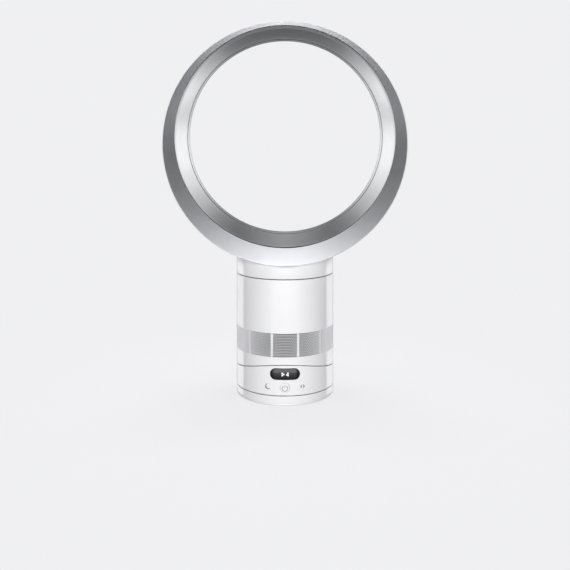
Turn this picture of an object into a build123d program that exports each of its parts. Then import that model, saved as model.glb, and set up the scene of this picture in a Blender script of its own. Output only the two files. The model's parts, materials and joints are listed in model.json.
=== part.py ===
from build123d import *
import math
import os

# A bladeless desk fan: a round foot, a control base that turns on it, a body that tilts in the
# base's curved saddle, and an eccentric air loop that twists off the body.
# Millimetres, +Z up, the front faces -Y, origin on the floor under the body's centre line.

# ---------------------------------------------------------------- driving dimensions
OVERALL_H = 552.0        # floor to the top of the loop
BODY_D = 146.0           # diameter of the foot, the base, the body and the neck
SHELL_WALL = 2.5         # wall of every round casing
FIT = 0.1                # clearance of a part that sits inside a casing
RUN = 0.05               # radial clearance of a part that turns

FOOT_H = 14.5            # top of the foot's deck
FOOT_EDGE_R = 5.0        # round of the foot's lower edge
FOOT_LIFT = 1.0          # foot's casing above the floor
PAD_R = 8.0              # rubber foot pads
PAD_COUNT = 5
PAD_RING_EDGE = 12.0     # pads' circle inside the base plate's edge
BASE_PLATE_T = 3.0
BASE_SCREW_COUNT = 5
SCREW_RING_EDGE = 16.0   # base screws' circle inside the base plate's edge

SEAM = 0.8               # open seam between the foot and the control base
GLIDE_T = 1.2            # low-friction ring that carries the turning base
GLIDE_W = 10.0
GLIDE_EDGE = 8.5         # ring's outer edge inside the casing's wall
TURNTABLE_T = 3.0
HUB_R = 20.0             # pivot tube of the oscillation
HUB_BORE_R = 14.0
GEAR_T = 5.0
GEAR_MODULE = 1.0
GEAR_RIM = 4.5           # from the hub to the fixed gear's pitch circle
PINION_TEETH = 14
TOOTH_ADDENDUM = 0.8     # of the module
TOOTH_DEDENDUM = 1.15    # of the module
TOOTH_BACKLASH = 0.14
PRESSURE_ANGLE = 20.0
OSC_MOTOR_R = 14.0
OSC_MOTOR_H = 15.0
OSC_SHAFT_R = 2.5

SADDLE_LOW_Z = 45.43     # lowest point of the curved seam between the base and the body
SADDLE_R = 200.0         # radius of the body's curved underside
SADDLE_GAP = 0.8         # open seam between the base and the body
PLATE_T = 3.0            # cradle, shoe and flange thickness
PLATE_RECESS = 0.4       # cradle's face below the rim of the base
RAIL_X = 28.0            # rails to the left and right of the centre line
RAIL_WEB_W = 8.0
RAIL_FLANGE_W = 16.0
RAIL_HALF_ANGLE = 6.0
RAIL_SCREW_Y = 12.0
RAIL_CLEARANCE = 0.3
TILT_LIMIT = 10.0
GLIDE_PAD_X = 48.0

LENS_W = 43.0            # display window
LENS_H = 16.6
LENS_Z = 46.4
LENS_T = 1.8
BUTTON_R = 6.7
BUTTON_Z = 26.4
BUTTON_GAP = 0.25
BUTTON_TRAVEL = 1.0

GRILLE_Z0 = 70.6         # band of the air inlet
GRILLE_Z1 = 104.3
GRILLE_PANELS = 12
GRILLE_STRIP = 3.6       # bare strip between two panels
GRILLE_COLUMNS = 6
GRILLE_ROWS = 4
GRILLE_HOLE_R = 2.0

NECK_H = 19.2            # from the seam on top of the body up to the lowest point of the loop
NECK_SEAM = 0.6
NECK_WALL = 3.0
SHOULDER_DROP = 4.0      # rear edge of the neck below the lowest point of the loop
SHOULDER_SLOPE = 40.0
SHOULDER_ROUND = 5.0
BAYONET_EDGE = 6.5       # spigot's outside inside the neck's outside
BAYONET_WALL = 3.0
LUG_COUNT = 4
LUG_ANGLE = 16.0
LUG_T = 3.0
LUG_REACH = 3.0

LIP_R = 175.5            # outer edge of the loop
LIP_PROUD = 1.0          # lip in front of the neck
LIP_T = 2.0
LOOP_REAR_Y = 38.0
LOOP_WALL = 2.5
LOOP_REAR_ROUND = 11.0
THROAT_RISE = 8.5        # the throat's centre above the lip's centre
THROAT_ROUND = 5.5
THROAT_RIM = 6.0         # solid rim at the throat's rear edge
NOZZLE_T = 1.5           # curled edge that forms the air slot
NOZZLE_FRONT_Y = 24.0
SLOT = 1.2
RING_REAR_GAP = 2.0      # way for the air round the inner wall's rear end
BEVEL_ANGLE = 35.5       # front bevel to the loop's axis
LIP_EDGE = 1.2           # flat edge of the lip outside the bevel
GUIDE_W = 14.8           # from the lip's radius to the inner wall's in front
GUIDE_DEPTH = 34.0       # from the lip back to the end of the inner wall's flare
FLARE_W = 11.7           # from the inner wall's radius in front to the throat's
RING_WALL = 2.0
SPACER_COUNT = 12
AIR_HOLE_EDGE = 23.0     # the loop's air inlet inside the neck's outside, left and right
AIR_HOLE_FRONT = 22.0    # and behind the lip
AIR_HOLE_REAR = 16.0     # and in front of the loop's rear face

HOUSING_GAP = 11.9       # round the fan unit inside the body
HOUSING_WALL = 2.5
HOUSING_DROP = 5.2       # top of the fan unit's housing below the body's top
HOUSING_H = 66.0
EYE_EDGE = 18.5          # impeller's eye inside the housing's outside
BELL_R = 14.0
IMPELLER_RISE = 1.0      # above the housing's foot
IMPELLER_H = 25.5
IMPELLER_BLADES = 9
DUCT_W = 24.5            # from the motor bucket's outside to the housing's outside
BUCKET_WALL = 2.0
BUCKET_RISE = 28.0       # motor bucket above the housing's foot
BUCKET_LOWER_H = 20.0
BUCKET_UPPER_H = 26.0
VANE_COUNT = 11
MOTOR_SHAFT_R = 3.0
BEARING_R = 8.0
POLE_COUNT = 9
POLE_W = 4.0
COIL_W = 1.6
YOKE_W = 4.9
ROTOR_R = 11.8
AIR_GAP = 0.7
STATOR_RISE = 4.5        # above the bucket's foot
STATOR_H = 12.0
SUPPORT_RISE = 40.0      # above the housing's foot
MOUNT_H = 6.0

# ---------------------------------------------------------------- derived sizes and places
BODY_R = BODY_D / 2
SHELL_IN_R = BODY_R - SHELL_WALL
INNER_R = SHELL_IN_R - FIT
BASE_Z0 = FOOT_H + SEAM
TURNTABLE_Z0 = FOOT_H + GLIDE_T
TURNTABLE_Z1 = TURNTABLE_Z0 + TURNTABLE_T
SADDLE_AXIS_Z = SADDLE_LOW_Z + SADDLE_R + SADDLE_GAP / 2
SADDLE_SEAM_Z = SADDLE_AXIS_Z - math.sqrt((SADDLE_R + SADDLE_GAP / 2) ** 2 - BODY_R ** 2)
CRADLE_R = SADDLE_R + SADDLE_GAP + PLATE_RECESS
FLANGE_R = CRADLE_R + PLATE_T + RAIL_CLEARANCE
SLOT_HALF_ANGLE = RAIL_HALF_ANGLE + TILT_LIMIT + 0.3
GEAR_TEETH = round(2 * (HUB_R + GEAR_RIM) / GEAR_MODULE)
GEAR_Z0 = TURNTABLE_Z1 + 0.2
GEAR_Z1 = GEAR_Z0 + GEAR_T
MESH_DISTANCE = GEAR_MODULE * (GEAR_TEETH + PINION_TEETH) / 2
BRACKET_Z0 = GEAR_Z1 + 0.8
BRACKET_T = 2.0
OSC_MOTOR_Z0 = BRACKET_Z0 + BRACKET_T
GLIDE_R = SHELL_IN_R - GLIDE_EDGE
HOUSING_R = INNER_R - HOUSING_GAP
HOUSING_IN_R = HOUSING_R - HOUSING_WALL
EYE_R = HOUSING_R - EYE_EDGE
BUCKET_R = HOUSING_R - DUCT_W
BAYONET_R = BODY_R - BAYONET_EDGE
LOOP_Z = OVERALL_H - LIP_R
LOOP_LOW_Z = LOOP_Z - LIP_R
NECK_Z = LOOP_LOW_Z - NECK_H
SHOULDER_Z = LOOP_LOW_Z - SHOULDER_DROP
BODY_TOP_Z = NECK_Z - NECK_SEAM
HOUSING_Z1 = BODY_TOP_Z - HOUSING_DROP
HOUSING_Z0 = HOUSING_Z1 - HOUSING_H
IMPELLER_Z0 = HOUSING_Z0 + IMPELLER_RISE
IMPELLER_Z1 = IMPELLER_Z0 + IMPELLER_H
BUCKET_Z0 = HOUSING_Z0 + BUCKET_RISE
BUCKET_SPLIT_Z = BUCKET_Z0 + BUCKET_LOWER_H
BUCKET_Z1 = BUCKET_SPLIT_Z + BUCKET_UPPER_H
STATOR_Z0 = BUCKET_Z0 + STATOR_RISE
STATOR_Z1 = STATOR_Z0 + STATOR_H
SUPPORT_Z = HOUSING_Z0 + SUPPORT_RISE
LIP_Y = -BODY_R - LIP_PROUD
FLARE_Y = LIP_Y + GUIDE_DEPTH
GUIDE_R = LIP_R - GUIDE_W
THROAT_R = GUIDE_R - FLARE_W
THROAT_Z = LOOP_Z + THROAT_RISE
COANDA_R = THROAT_R + NOZZLE_T + SLOT
LUG_Z0 = NECK_Z + 2.7    # neck's lugs; the body's lugs lie just above them
LUG_GAP = 0.5
BAYONET_TOP_Z = LUG_Z0 + 2 * LUG_T + 2 * LUG_GAP + 1.5
SEAL_T = 2.0


# ---------------------------------------------------------------- helpers
def disc(radius, z0, z1):
    return Pos(0, 0, (z0 + z1) / 2) * Cylinder(radius, z1 - z0)


def tube(outer, inner, z0, z1):
    return disc(outer, z0, z1) - disc(inner, z0 - 1, z1 + 1)


def block(x0, x1, y0, y1, z0, z1):
    centre = Pos((x0 + x1) / 2, (y0 + y1) / 2, (z0 + z1) / 2)
    return centre * Box(x1 - x0, y1 - y0, z1 - z0)


def drum(radius, y0, y1, axis_z):
    """A cylinder along Y."""
    return Pos(0, (y0 + y1) / 2, axis_z) * Rot(90, 0, 0) * Cylinder(radius, y1 - y0)


def saddle(radius):
    """A cylinder along X about the tilt axis: the curve of the base and the body's underside."""
    return Pos(0, 0, SADDLE_AXIS_Z) * Rot(0, 90, 0) * Cylinder(radius, 2 * BODY_D)


def saddle_arc(outer, inner, half_angle, x0, x1):
    """A strip of the saddle, between two radii and within half_angle of straight down."""
    with_wedge = saddle(outer) - saddle(inner)
    reach = 1.2 * outer
    side = reach * math.tan(math.radians(half_angle))
    wedge = Plane.YZ * make_face(Polyline((0, 0), (-side, -reach), (side, -reach), (0, 0)))
    wedge = Pos(x0, 0, SADDLE_AXIS_Z) * extrude(wedge, x1 - x0)
    return with_wedge & wedge


def circle_at(radius, y, z):
    return Plane(origin=(0, y, z), x_dir=(1, 0, 0), z_dir=(0, -1, 0)) * Circle(radius)


def around(count, radius, start=0.0):
    return [Rot(0, 0, start + 360 * k / count) * Pos(radius, 0, 0) for k in range(count)]


def spin(points, axis_z=None):
    """A solid of revolution of (radius, height) points about Z, or about a line along Y."""
    outline = Plane.XZ * make_face(Polyline(*points, points[0]))
    solid = revolve(outline, Axis.Z, 360)
    if axis_z is None:
        return solid
    return Pos(0, 0, axis_z) * Rot(-90, 0, 0) * solid


def ring_sector(outer, inner, z0, z1, centre_angle, width_angle):
    half = math.radians(width_angle / 2)
    reach = 2 * outer
    wedge = make_face(Polyline((0, 0), (reach, -reach * math.tan(half)),
                               (reach, reach * math.tan(half)), (0, 0)))
    wedge = Pos(0, 0, z0 - 1) * extrude(wedge, z1 - z0 + 2)
    return Rot(0, 0, centre_angle) * (tube(outer, inner, z0, z1) & wedge)


def gear(teeth, z0, z1, bore):
    """A spur gear with involute flanks and one tooth centred on +X."""
    pitch_r = GEAR_MODULE * teeth / 2
    base_r = pitch_r * math.cos(math.radians(PRESSURE_ANGLE))
    tip_r = pitch_r + TOOTH_ADDENDUM * GEAR_MODULE
    root_r = pitch_r - TOOTH_DEDENDUM * GEAR_MODULE

    def unwound(radius):
        if radius <= base_r:
            return 0.0
        turn = math.acos(base_r / radius)
        return math.tan(turn) - turn

    half_tooth = math.pi / (2 * teeth) - TOOTH_BACKLASH / (2 * pitch_r)
    steps = 6
    flank = []
    for k in range(steps + 1):
        radius = root_r + (tip_r - root_r) * k / steps
        angle = half_tooth + unwound(pitch_r) - unwound(radius)
        flank.append((radius, angle))
    outline = []
    for tooth in range(teeth):
        centre = 2 * math.pi * tooth / teeth
        rising = [(r, centre - a) for r, a in flank]
        falling = [(r, centre + a) for r, a in reversed(flank)]
        outline += [(r * math.cos(a), r * math.sin(a)) for r, a in rising + falling]
    blank = make_face(Polyline(*outline, outline[0])) - Circle(bore)
    return Pos(0, 0, z0) * extrude(blank, z1 - z0)


def screw(head_r, head_h, shank_r, length):
    """A countersunk-free pan screw, head down at z 0, shank up."""
    return disc(head_r, 0, head_h) + disc(shank_r, head_h, head_h + length)


def save(node, shape):
    shape.label = node
    export_step(shape, f"parts/{node}.step")


def save_group(node, solids):
    save(node, Compound(children=list(solids)))


# ---------------------------------------------------------------- foot
BASE_PLATE_Z1 = FOOT_LIFT + BASE_PLATE_T
BASE_PLATE_R = BODY_R - FOOT_EDGE_R - 2
DECK_Z0 = FOOT_H - SHELL_WALL
BOSS_R = 4.0
BOSS_RING_R = BASE_PLATE_R - SCREW_RING_EDGE
PAD_RING_R = BASE_PLATE_R - PAD_RING_EDGE
HUB_FLANGE_W = 10.0
HUB_SCREW_RING_R = HUB_R + 6.0
HUB_SCREW_R = 1.2
HUB_SCREW_HEAD_H = 1.4
BASE_SCREW_R = 1.5
BASE_SCREW_HEAD_R = 3.0
BASE_SCREW_HEAD_H = 1.6
INLET_Z = 8.0
INLET_R = 3.4
INLET_DEPTH = 15.0


def foot_shell():
    casing = disc(BODY_R, FOOT_LIFT, FOOT_H)
    low_edge = casing.edges().filter_by(GeomType.CIRCLE).sort_by(Axis.Z)[0]
    casing = fillet(low_edge, FOOT_EDGE_R)
    casing -= disc(BASE_PLATE_R + FIT, 0, BASE_PLATE_Z1 + FIT)
    casing -= disc(SHELL_IN_R, BASE_PLATE_Z1 + FIT, DECK_Z0)
    casing -= disc(HUB_R + FIT, 0, FOOT_H + 1)
    for place in around(BASE_SCREW_COUNT, BOSS_RING_R, 36):
        boss = disc(BOSS_R, BASE_PLATE_Z1 + FIT, DECK_Z0 + 0.5)
        pilot = disc(BASE_SCREW_R, BASE_PLATE_Z1, DECK_Z0 - 1)
        casing += place * boss
        casing -= place * pilot
    return casing - drum(INLET_R, SHELL_IN_R - 6, BODY_R + 5, INLET_Z)


def base_plate():
    plate = disc(BASE_PLATE_R, FOOT_LIFT, BASE_PLATE_Z1)
    for place in around(PAD_COUNT, PAD_RING_R):
        plate -= place * disc(PAD_R + FIT, 0, FOOT_LIFT + 1)
    for place in around(BASE_SCREW_COUNT, BOSS_RING_R, 36):
        plate -= place * disc(BASE_SCREW_HEAD_R + 0.3, 0, FOOT_LIFT + BASE_SCREW_HEAD_H)
        plate -= place * disc(BASE_SCREW_R + 0.1, 0, BASE_PLATE_Z1 + 1)
    return plate


def rubber_feet():
    pad = disc(PAD_R, 0, FOOT_LIFT + 1)
    pad = chamfer(pad.edges().sort_by(Axis.Z)[0], 0.5)
    return [place * pad for place in around(PAD_COUNT, PAD_RING_R)]


def base_screws():
    one = Pos(0, 0, FOOT_LIFT) * screw(BASE_SCREW_HEAD_R, BASE_SCREW_HEAD_H,
                                       BASE_SCREW_R - 0.02, 7.5)
    return [place * one for place in around(BASE_SCREW_COUNT, BOSS_RING_R, 36)]


def power_inlet():
    """Socket behind the foot's rear wall, with a centre pin in its barrel."""
    half_w, low_z, high_z = 7.0, BASE_PLATE_Z1 + FIT, DECK_Z0 - FIT
    bottom_y = BODY_R - INLET_DEPTH
    body = block(-half_w, half_w, bottom_y - 6, SHELL_IN_R - 3, low_z, high_z)
    body += drum(INLET_R - FIT, SHELL_IN_R - 4, BODY_R - 0.8, INLET_Z)
    body -= drum(INLET_R - 1.2, bottom_y, BODY_R + 1, INLET_Z)
    return body + drum(0.9, bottom_y - 1, BODY_R - 3, INLET_Z)


def hub_screw_holes(depth):
    hole = disc(HUB_SCREW_R + 0.02, DECK_Z0 - PLATE_T - 1, DECK_Z0 + depth)
    return [place * hole for place in around(4, HUB_SCREW_RING_R, 45)]


def pivot_hub():
    """Tube that the base turns on, with a flange screwed up under the deck."""
    hub = tube(HUB_R, HUB_BORE_R, DECK_Z0 - PLATE_T, GEAR_Z1 + 2.4)
    hub += tube(HUB_R + HUB_FLANGE_W, HUB_BORE_R, DECK_Z0 - PLATE_T, DECK_Z0)
    groove = tube(HUB_R + 1, HUB_R - 1, GEAR_Z1 + 0.1, GEAR_Z1 + 1.3)
    return hub - groove - hub_screw_holes(1)


def hub_clip():
    clip = tube(HUB_R + 2.5, HUB_R - 0.9, GEAR_Z1 + 0.15, GEAR_Z1 + 1.25)
    return clip - block(0, HUB_R + 5, -4, 4, GEAR_Z1, GEAR_Z1 + 2)


def hub_screws():
    head_z = DECK_Z0 - PLATE_T - HUB_SCREW_HEAD_H
    one = Pos(0, 0, head_z) * screw(2 * HUB_SCREW_R, HUB_SCREW_HEAD_H, HUB_SCREW_R, PLATE_T + 1.4)
    return [place * one for place in around(4, HUB_SCREW_RING_R, 45)]


def make_foot():
    save("foot_shell", foot_shell() - hub_screw_holes(1.6))
    save("base_plate", base_plate())
    save_group("rubber_feet", rubber_feet())
    save_group("base_screws", base_screws())
    save("power_inlet", power_inlet())
    save("pivot_hub", pivot_hub())
    save_group("hub_screws", hub_screws())
    save("hub_clip", hub_clip())
    save("glide_ring", tube(GLIDE_R, GLIDE_R - GLIDE_W, FOOT_H, TURNTABLE_Z0 - 0.02))
    save("fixed_gear", Rot(0, 0, 90) * gear(GEAR_TEETH, GEAR_Z0, GEAR_Z1, HUB_R + 0.02))


# ---------------------------------------------------------------- control base
WINDOW_GAP = 0.15
BUTTON_FLANGE_R = BUTTON_R + 1.6
BUTTON_DEPTH = 4.5
BUTTON_STEM = 2.0
SWITCH_Y = -BODY_R + BUTTON_DEPTH + BUTTON_STEM + BUTTON_TRAVEL + 0.15
BOARD_Y = SWITCH_Y + 4.2
BOARD_T = 1.6
FRAME_IN_R = SHELL_IN_R - 1.7
FRAME_SIDE = 6.0
FRAME_TOP = 0.4
BOARD_SPLIT_Z = LENS_Z - LENS_H / 2 - 2.0
TURNTABLE_SCREW_R = 1.5
TURNTABLE_SCREW_RING_R = SHELL_IN_R - 7.5
CUT_Y = -BODY_R + 18     # how far in the windows of the front wall are cut


def stadium(width, height, y0, y1, centre_z):
    """A stadium-shaped plug along Y."""
    half = (width - height) / 2
    plug = block(-half, half, y0, y1, centre_z - height / 2, centre_z + height / 2)
    for side in (-half, half):
        plug += Pos(side, 0, 0) * drum(height / 2, y0, y1, centre_z)
    return plug


def control_shell():
    shell = tube(BODY_R, SHELL_IN_R, BASE_Z0, SADDLE_SEAM_Z + 4) - saddle(SADDLE_R + SADDLE_GAP)
    shell -= stadium(LENS_W + 2 * WINDOW_GAP, LENS_H + 2 * WINDOW_GAP, -BODY_R - 5, CUT_Y, LENS_Z)
    shell -= drum(BUTTON_R + BUTTON_GAP, -BODY_R - 5, CUT_Y, BUTTON_Z)
    for place in around(4, TURNTABLE_SCREW_RING_R, 45):
        lug = disc(BOSS_R, TURNTABLE_Z1 + FIT, TURNTABLE_Z1 + 8)
        lug += block(0, SHELL_IN_R + 1 - TURNTABLE_SCREW_RING_R, -BOSS_R, BOSS_R,
                     TURNTABLE_Z1 + FIT, TURNTABLE_Z1 + 8)
        shell += place * lug
        shell -= place * disc(TURNTABLE_SCREW_R, TURNTABLE_Z1, TURNTABLE_Z1 + 7)
    return shell


def turntable_plate():
    plate = tube(INNER_R, HUB_R + RUN, TURNTABLE_Z0, TURNTABLE_Z1)
    for place in around(4, TURNTABLE_SCREW_RING_R, 45):
        plate -= place * disc(TURNTABLE_SCREW_R + 0.1, TURNTABLE_Z0 - 1, TURNTABLE_Z1 + 1)
        plate -= place * disc(3.0, TURNTABLE_Z0 - 1, TURNTABLE_Z0 + 1.6)
    return plate


def turntable_screws():
    one = Pos(0, 0, TURNTABLE_Z0 + 0.1) * screw(2.8, 1.5, TURNTABLE_SCREW_R - 0.02, 7.5)
    return [place * one for place in around(4, TURNTABLE_SCREW_RING_R, 45)]


def display_lens():
    lens = stadium(LENS_W, LENS_H, -BODY_R - 5, CUT_Y, LENS_Z)
    return lens & tube(BODY_R, BODY_R - LENS_T, LENS_Z - LENS_H, LENS_Z + LENS_H)


def display_frame():
    """Black surround that holds the lens from behind."""
    low_z, high_z = LENS_Z - LENS_H, LENS_Z + LENS_H
    frame = stadium(LENS_W + FRAME_SIDE, LENS_H + FRAME_TOP, -BODY_R, 0, LENS_Z)
    frame &= tube(SHELL_IN_R - FIT, FRAME_IN_R, low_z, high_z)
    frame += stadium(LENS_W, LENS_H, -BODY_R, 0, LENS_Z) & tube(BODY_R - LENS_T, SHELL_IN_R - 0.2,
                                                               low_z, high_z)
    return frame - stadium(LENS_W - 3, LENS_H - 3, -BODY_R - 1, 0, LENS_Z)


def display_board():
    """Upright board with the number display and the remote control's receiver."""
    board = block(-24, 24, BOARD_Y, BOARD_Y + BOARD_T, BOARD_SPLIT_Z + 0.2, LENS_Z + 3.4)
    digits = block(-9, 11, 1 - FRAME_IN_R, BOARD_Y, LENS_Z - 4, LENS_Z + 3.4)
    receiver_y = 0.5 - math.sqrt(FRAME_IN_R ** 2 - 18.5 ** 2)
    receiver = block(14, 18.5, receiver_y, BOARD_Y, LENS_Z - 2.5, LENS_Z + 2.5)
    return board + digits + receiver


def power_button():
    cap = drum(BUTTON_R, -BODY_R - 2, -BODY_R + BUTTON_DEPTH + 2, BUTTON_Z)
    cap &= disc(BODY_R, BUTTON_Z - 10, BUTTON_Z + 10)
    rear_y = -BODY_R + BUTTON_DEPTH
    cap -= block(-20, 20, rear_y, 0, BUTTON_Z - 10, BUTTON_Z + 10)
    flange = drum(BUTTON_FLANGE_R, -BODY_R, rear_y, BUTTON_Z)
    flange &= disc(SHELL_IN_R - 0.3, BUTTON_Z - 10, BUTTON_Z + 10)
    flange &= disc(BODY_R, TURNTABLE_Z1 + RAIL_CLEARANCE, BUTTON_Z + 10)
    stem = drum(2.0, rear_y - 0.5, rear_y + BUTTON_STEM, BUTTON_Z)
    return cap + flange + stem


def button_switch():
    plunger = drum(1.7, SWITCH_Y, SWITCH_Y + 1.5, BUTTON_Z)
    case = block(-3.1, 3.1, SWITCH_Y + 1.2, BOARD_Y, BUTTON_Z - 3.1, BUTTON_Z + 3.1)
    return plunger + case


def control_board():
    """Upright board behind the button, standing on the turntable."""
    back_y = BOARD_Y + BOARD_T
    board = block(-26, 26, BOARD_Y, back_y, TURNTABLE_Z1, BOARD_SPLIT_Z)
    board += block(-18, -8, back_y - 0.1, back_y + 3.5, TURNTABLE_Z1 + 4, TURNTABLE_Z1 + 10)
    board += block(6, 20, back_y - 0.1, back_y + 2.5, TURNTABLE_Z1 + 3, TURNTABLE_Z1 + 9)
    return board


def motor_bracket():
    plate = block(-22, 22, MESH_DISTANCE - 12, MESH_DISTANCE + 13, BRACKET_Z0, OSC_MOTOR_Z0)
    plate -= Pos(0, MESH_DISTANCE, 0) * disc(7.5, BRACKET_Z0 - 1, OSC_MOTOR_Z0 + 1)
    for side in (-19, 19):
        post = disc(3, TURNTABLE_Z1, BRACKET_Z0 + 0.5)
        plate += Pos(side, MESH_DISTANCE + 8, 0) * post
    return plate - disc(HUB_R + 3.5, BRACKET_Z0 - 1, OSC_MOTOR_Z0 + 1)


def oscillation_motor():
    motor = disc(OSC_MOTOR_R, OSC_MOTOR_Z0, OSC_MOTOR_Z0 + OSC_MOTOR_H)
    top_edge = motor.edges().filter_by(GeomType.CIRCLE).sort_by(Axis.Z)[-1]
    motor = fillet(top_edge, 1.0)
    motor += block(-20, 20, -4, 4, OSC_MOTOR_Z0, OSC_MOTOR_Z0 + 1)
    motor -= disc(OSC_SHAFT_R + RUN, OSC_MOTOR_Z0 - 1, OSC_MOTOR_Z0 + 6)
    return Pos(0, MESH_DISTANCE, 0) * motor


def drive_pinion():
    pinion = gear(PINION_TEETH, GEAR_Z0 + 0.2, GEAR_Z1 - 0.2, OSC_SHAFT_R + 0.01)
    pinion = Rot(0, 0, -90 + 180 / PINION_TEETH) * pinion
    return Pos(0, MESH_DISTANCE, 0) * pinion


def pinion_shaft():
    shaft = disc(OSC_SHAFT_R, GEAR_Z0 + 0.2, OSC_MOTOR_Z0 + 5.8)
    return Pos(0, MESH_DISTANCE, 0) * shaft


def cradle_plate():
    """Curved top of the base with two slots for the body's rails and one for its wiring."""
    plate = (saddle(CRADLE_R + PLATE_T) - saddle(CRADLE_R)) & disc(INNER_R, BASE_Z0, SADDLE_SEAM_Z + 9)
    slot_w = RAIL_WEB_W / 2 + RAIL_CLEARANCE
    for side in (-RAIL_X, RAIL_X):
        plate -= saddle_arc(CRADLE_R + PLATE_T + 1, CRADLE_R - 1, SLOT_HALF_ANGLE,
                            side - slot_w, side + slot_w)
    plate -= saddle_arc(CRADLE_R + PLATE_T + 1, CRADLE_R - 1, 11, -6, 6)
    notch = stadium(LENS_W + FRAME_SIDE + 0.4, LENS_H + FRAME_TOP + 0.4, -BODY_R, -50, LENS_Z)
    return plate - (notch & tube(BODY_R, FRAME_IN_R - 0.3, BASE_Z0, SADDLE_SEAM_Z + 9))


def make_control_base():
    save("control_shell", control_shell())
    save("turntable_plate", turntable_plate())
    save_group("turntable_screws", turntable_screws())
    save("display_lens", display_lens())
    save("display_frame", display_frame())
    save("display_board", display_board())
    save("power_button", power_button())
    save("button_switch", button_switch())
    save("control_board", control_board())
    save("motor_bracket", motor_bracket())
    save("oscillation_motor", oscillation_motor())
    save("drive_pinion", drive_pinion())
    save("pinion_shaft", pinion_shaft())
    save("cradle_plate", cradle_plate())


# ---------------------------------------------------------------- tilting body
GRILLE_PANEL_ANGLE = 360 / GRILLE_PANELS
STRIP_ANGLE = math.degrees(GRILLE_STRIP / BODY_R)
HOLE_MARGIN = GRILLE_HOLE_R + 0.4


def grille_holes():
    """Radial holes in staggered rows, one panel after another."""
    half = (GRILLE_PANEL_ANGLE - STRIP_ANGLE) / 2 - math.degrees(HOLE_MARGIN / BODY_R)
    pitch = 2 * half / (GRILLE_COLUMNS - 0.5)
    row_step = (GRILLE_Z1 - GRILLE_Z0 - 2 * HOLE_MARGIN) / (GRILLE_ROWS - 1)
    hole = Pos(SHELL_IN_R, 0, 0) * Rot(0, 90, 0) * Cylinder(GRILLE_HOLE_R, 12)
    holes = []
    for panel in range(GRILLE_PANELS):
        for row in range(GRILLE_ROWS):
            height = GRILLE_Z0 + HOLE_MARGIN + row * row_step
            start = GRILLE_PANEL_ANGLE * panel - half + (row % 2) * pitch / 2
            for column in range(GRILLE_COLUMNS):
                holes.append(Pos(0, 0, height) * Rot(0, 0, start + column * pitch) * hole)
    return holes


def body_shell():
    shell = tube(BODY_R, SHELL_IN_R, SADDLE_AXIS_Z - SADDLE_R, BODY_TOP_Z) & saddle(SADDLE_R)
    return shell - grille_holes()


def tilt_shoe():
    """Curved floor of the body, lying over the cradle."""
    shoe = (saddle(SADDLE_R) - saddle(SADDLE_R - PLATE_T)) & disc(INNER_R, BASE_Z0, SADDLE_SEAM_Z + 9)
    shoe -= saddle_arc(SADDLE_R + 1, SADDLE_R - PLATE_T - 1, 1.5, -6, 6)
    for side in (-RAIL_X, RAIL_X):
        for y in (-RAIL_SCREW_Y, RAIL_SCREW_Y):
            shoe -= Pos(side, y, 0) * disc(1.62, BASE_Z0, SADDLE_SEAM_Z + 9)
    return shoe


def tilt_rail(side):
    """Curved T-shaped rail: its web runs in the cradle's slot, its flange under the cradle."""
    web_w, flange_w = RAIL_WEB_W / 2, RAIL_FLANGE_W / 2
    web = saddle_arc(FLANGE_R + 1, SADDLE_R, RAIL_HALF_ANGLE, side - web_w, side + web_w)
    flange = saddle_arc(FLANGE_R + PLATE_T, FLANGE_R, RAIL_HALF_ANGLE,
                        side - flange_w, side + flange_w)
    rail = web + flange
    for y in (-RAIL_SCREW_Y, RAIL_SCREW_Y):
        rail -= Pos(side, y, 0) * disc(1.62, BASE_Z0, SADDLE_SEAM_Z + 9)
        rail -= Pos(side, y, 0) * disc(3.0, BASE_Z0, SADDLE_AXIS_Z - FLANGE_R - PLATE_T + 2)
    return rail


def rail_screws():
    head_z = SADDLE_AXIS_Z - FLANGE_R - PLATE_T + 2 - 1.5
    one = Pos(0, 0, head_z) * screw(2.8, 1.5, 1.6, 11)
    places = [(side, y) for side in (-RAIL_X, RAIL_X) for y in (-RAIL_SCREW_Y, RAIL_SCREW_Y)]
    return [Pos(x, y, 0) * one for x, y in places]


def glide_pads():
    pads = []
    for side in (-GLIDE_PAD_X, GLIDE_PAD_X):
        strip = saddle_arc(SADDLE_R + SADDLE_GAP, SADDLE_R, 4, side - 5, side + 5)
        pads.append(strip)
    return pads


def floor_foam():
    """Sound-absorbing pad shaped to the body's curved floor."""
    pad = disc(INNER_R - 10, SADDLE_AXIS_Z - SADDLE_R, GRILLE_Z0) & saddle(SADDLE_R - PLATE_T - FIT)
    for side in (-RAIL_X, RAIL_X):
        for y in (-RAIL_SCREW_Y, RAIL_SCREW_Y):
            pad -= Pos(side, y, 0) * disc(3, BASE_Z0, SADDLE_LOW_Z + 16)
    return pad


def inlet_bellmouth():
    """Flared air intake: a quarter of a round lip, with a flange to the housing."""
    lip_r = EYE_R + BELL_R
    lip = Pos(lip_r, HOUSING_Z0) * (Circle(BELL_R) - Circle(BELL_R - 2))
    quarter = Pos(lip_r - BELL_R / 2, HOUSING_Z0 - BELL_R / 2) * Rectangle(BELL_R, BELL_R)
    flare = revolve(Plane.XZ * (lip & quarter), Axis.Z, 360)
    return flare + tube(HOUSING_R - FIT, EYE_R + 1.9, HOUSING_Z0 - 2, HOUSING_Z0)


def impeller_housing():
    housing = tube(HOUSING_R, HOUSING_IN_R, HOUSING_Z0, HOUSING_Z1)
    flange_z = SUPPORT_Z + PLATE_T + MOUNT_H
    return housing + tube(HOUSING_R + 8, HOUSING_R - 1, flange_z, flange_z + PLATE_T)


def housing_seal():
    return tube(INNER_R, HOUSING_R + FIT, HOUSING_Z0 + 2, HOUSING_Z0 + 4)


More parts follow.
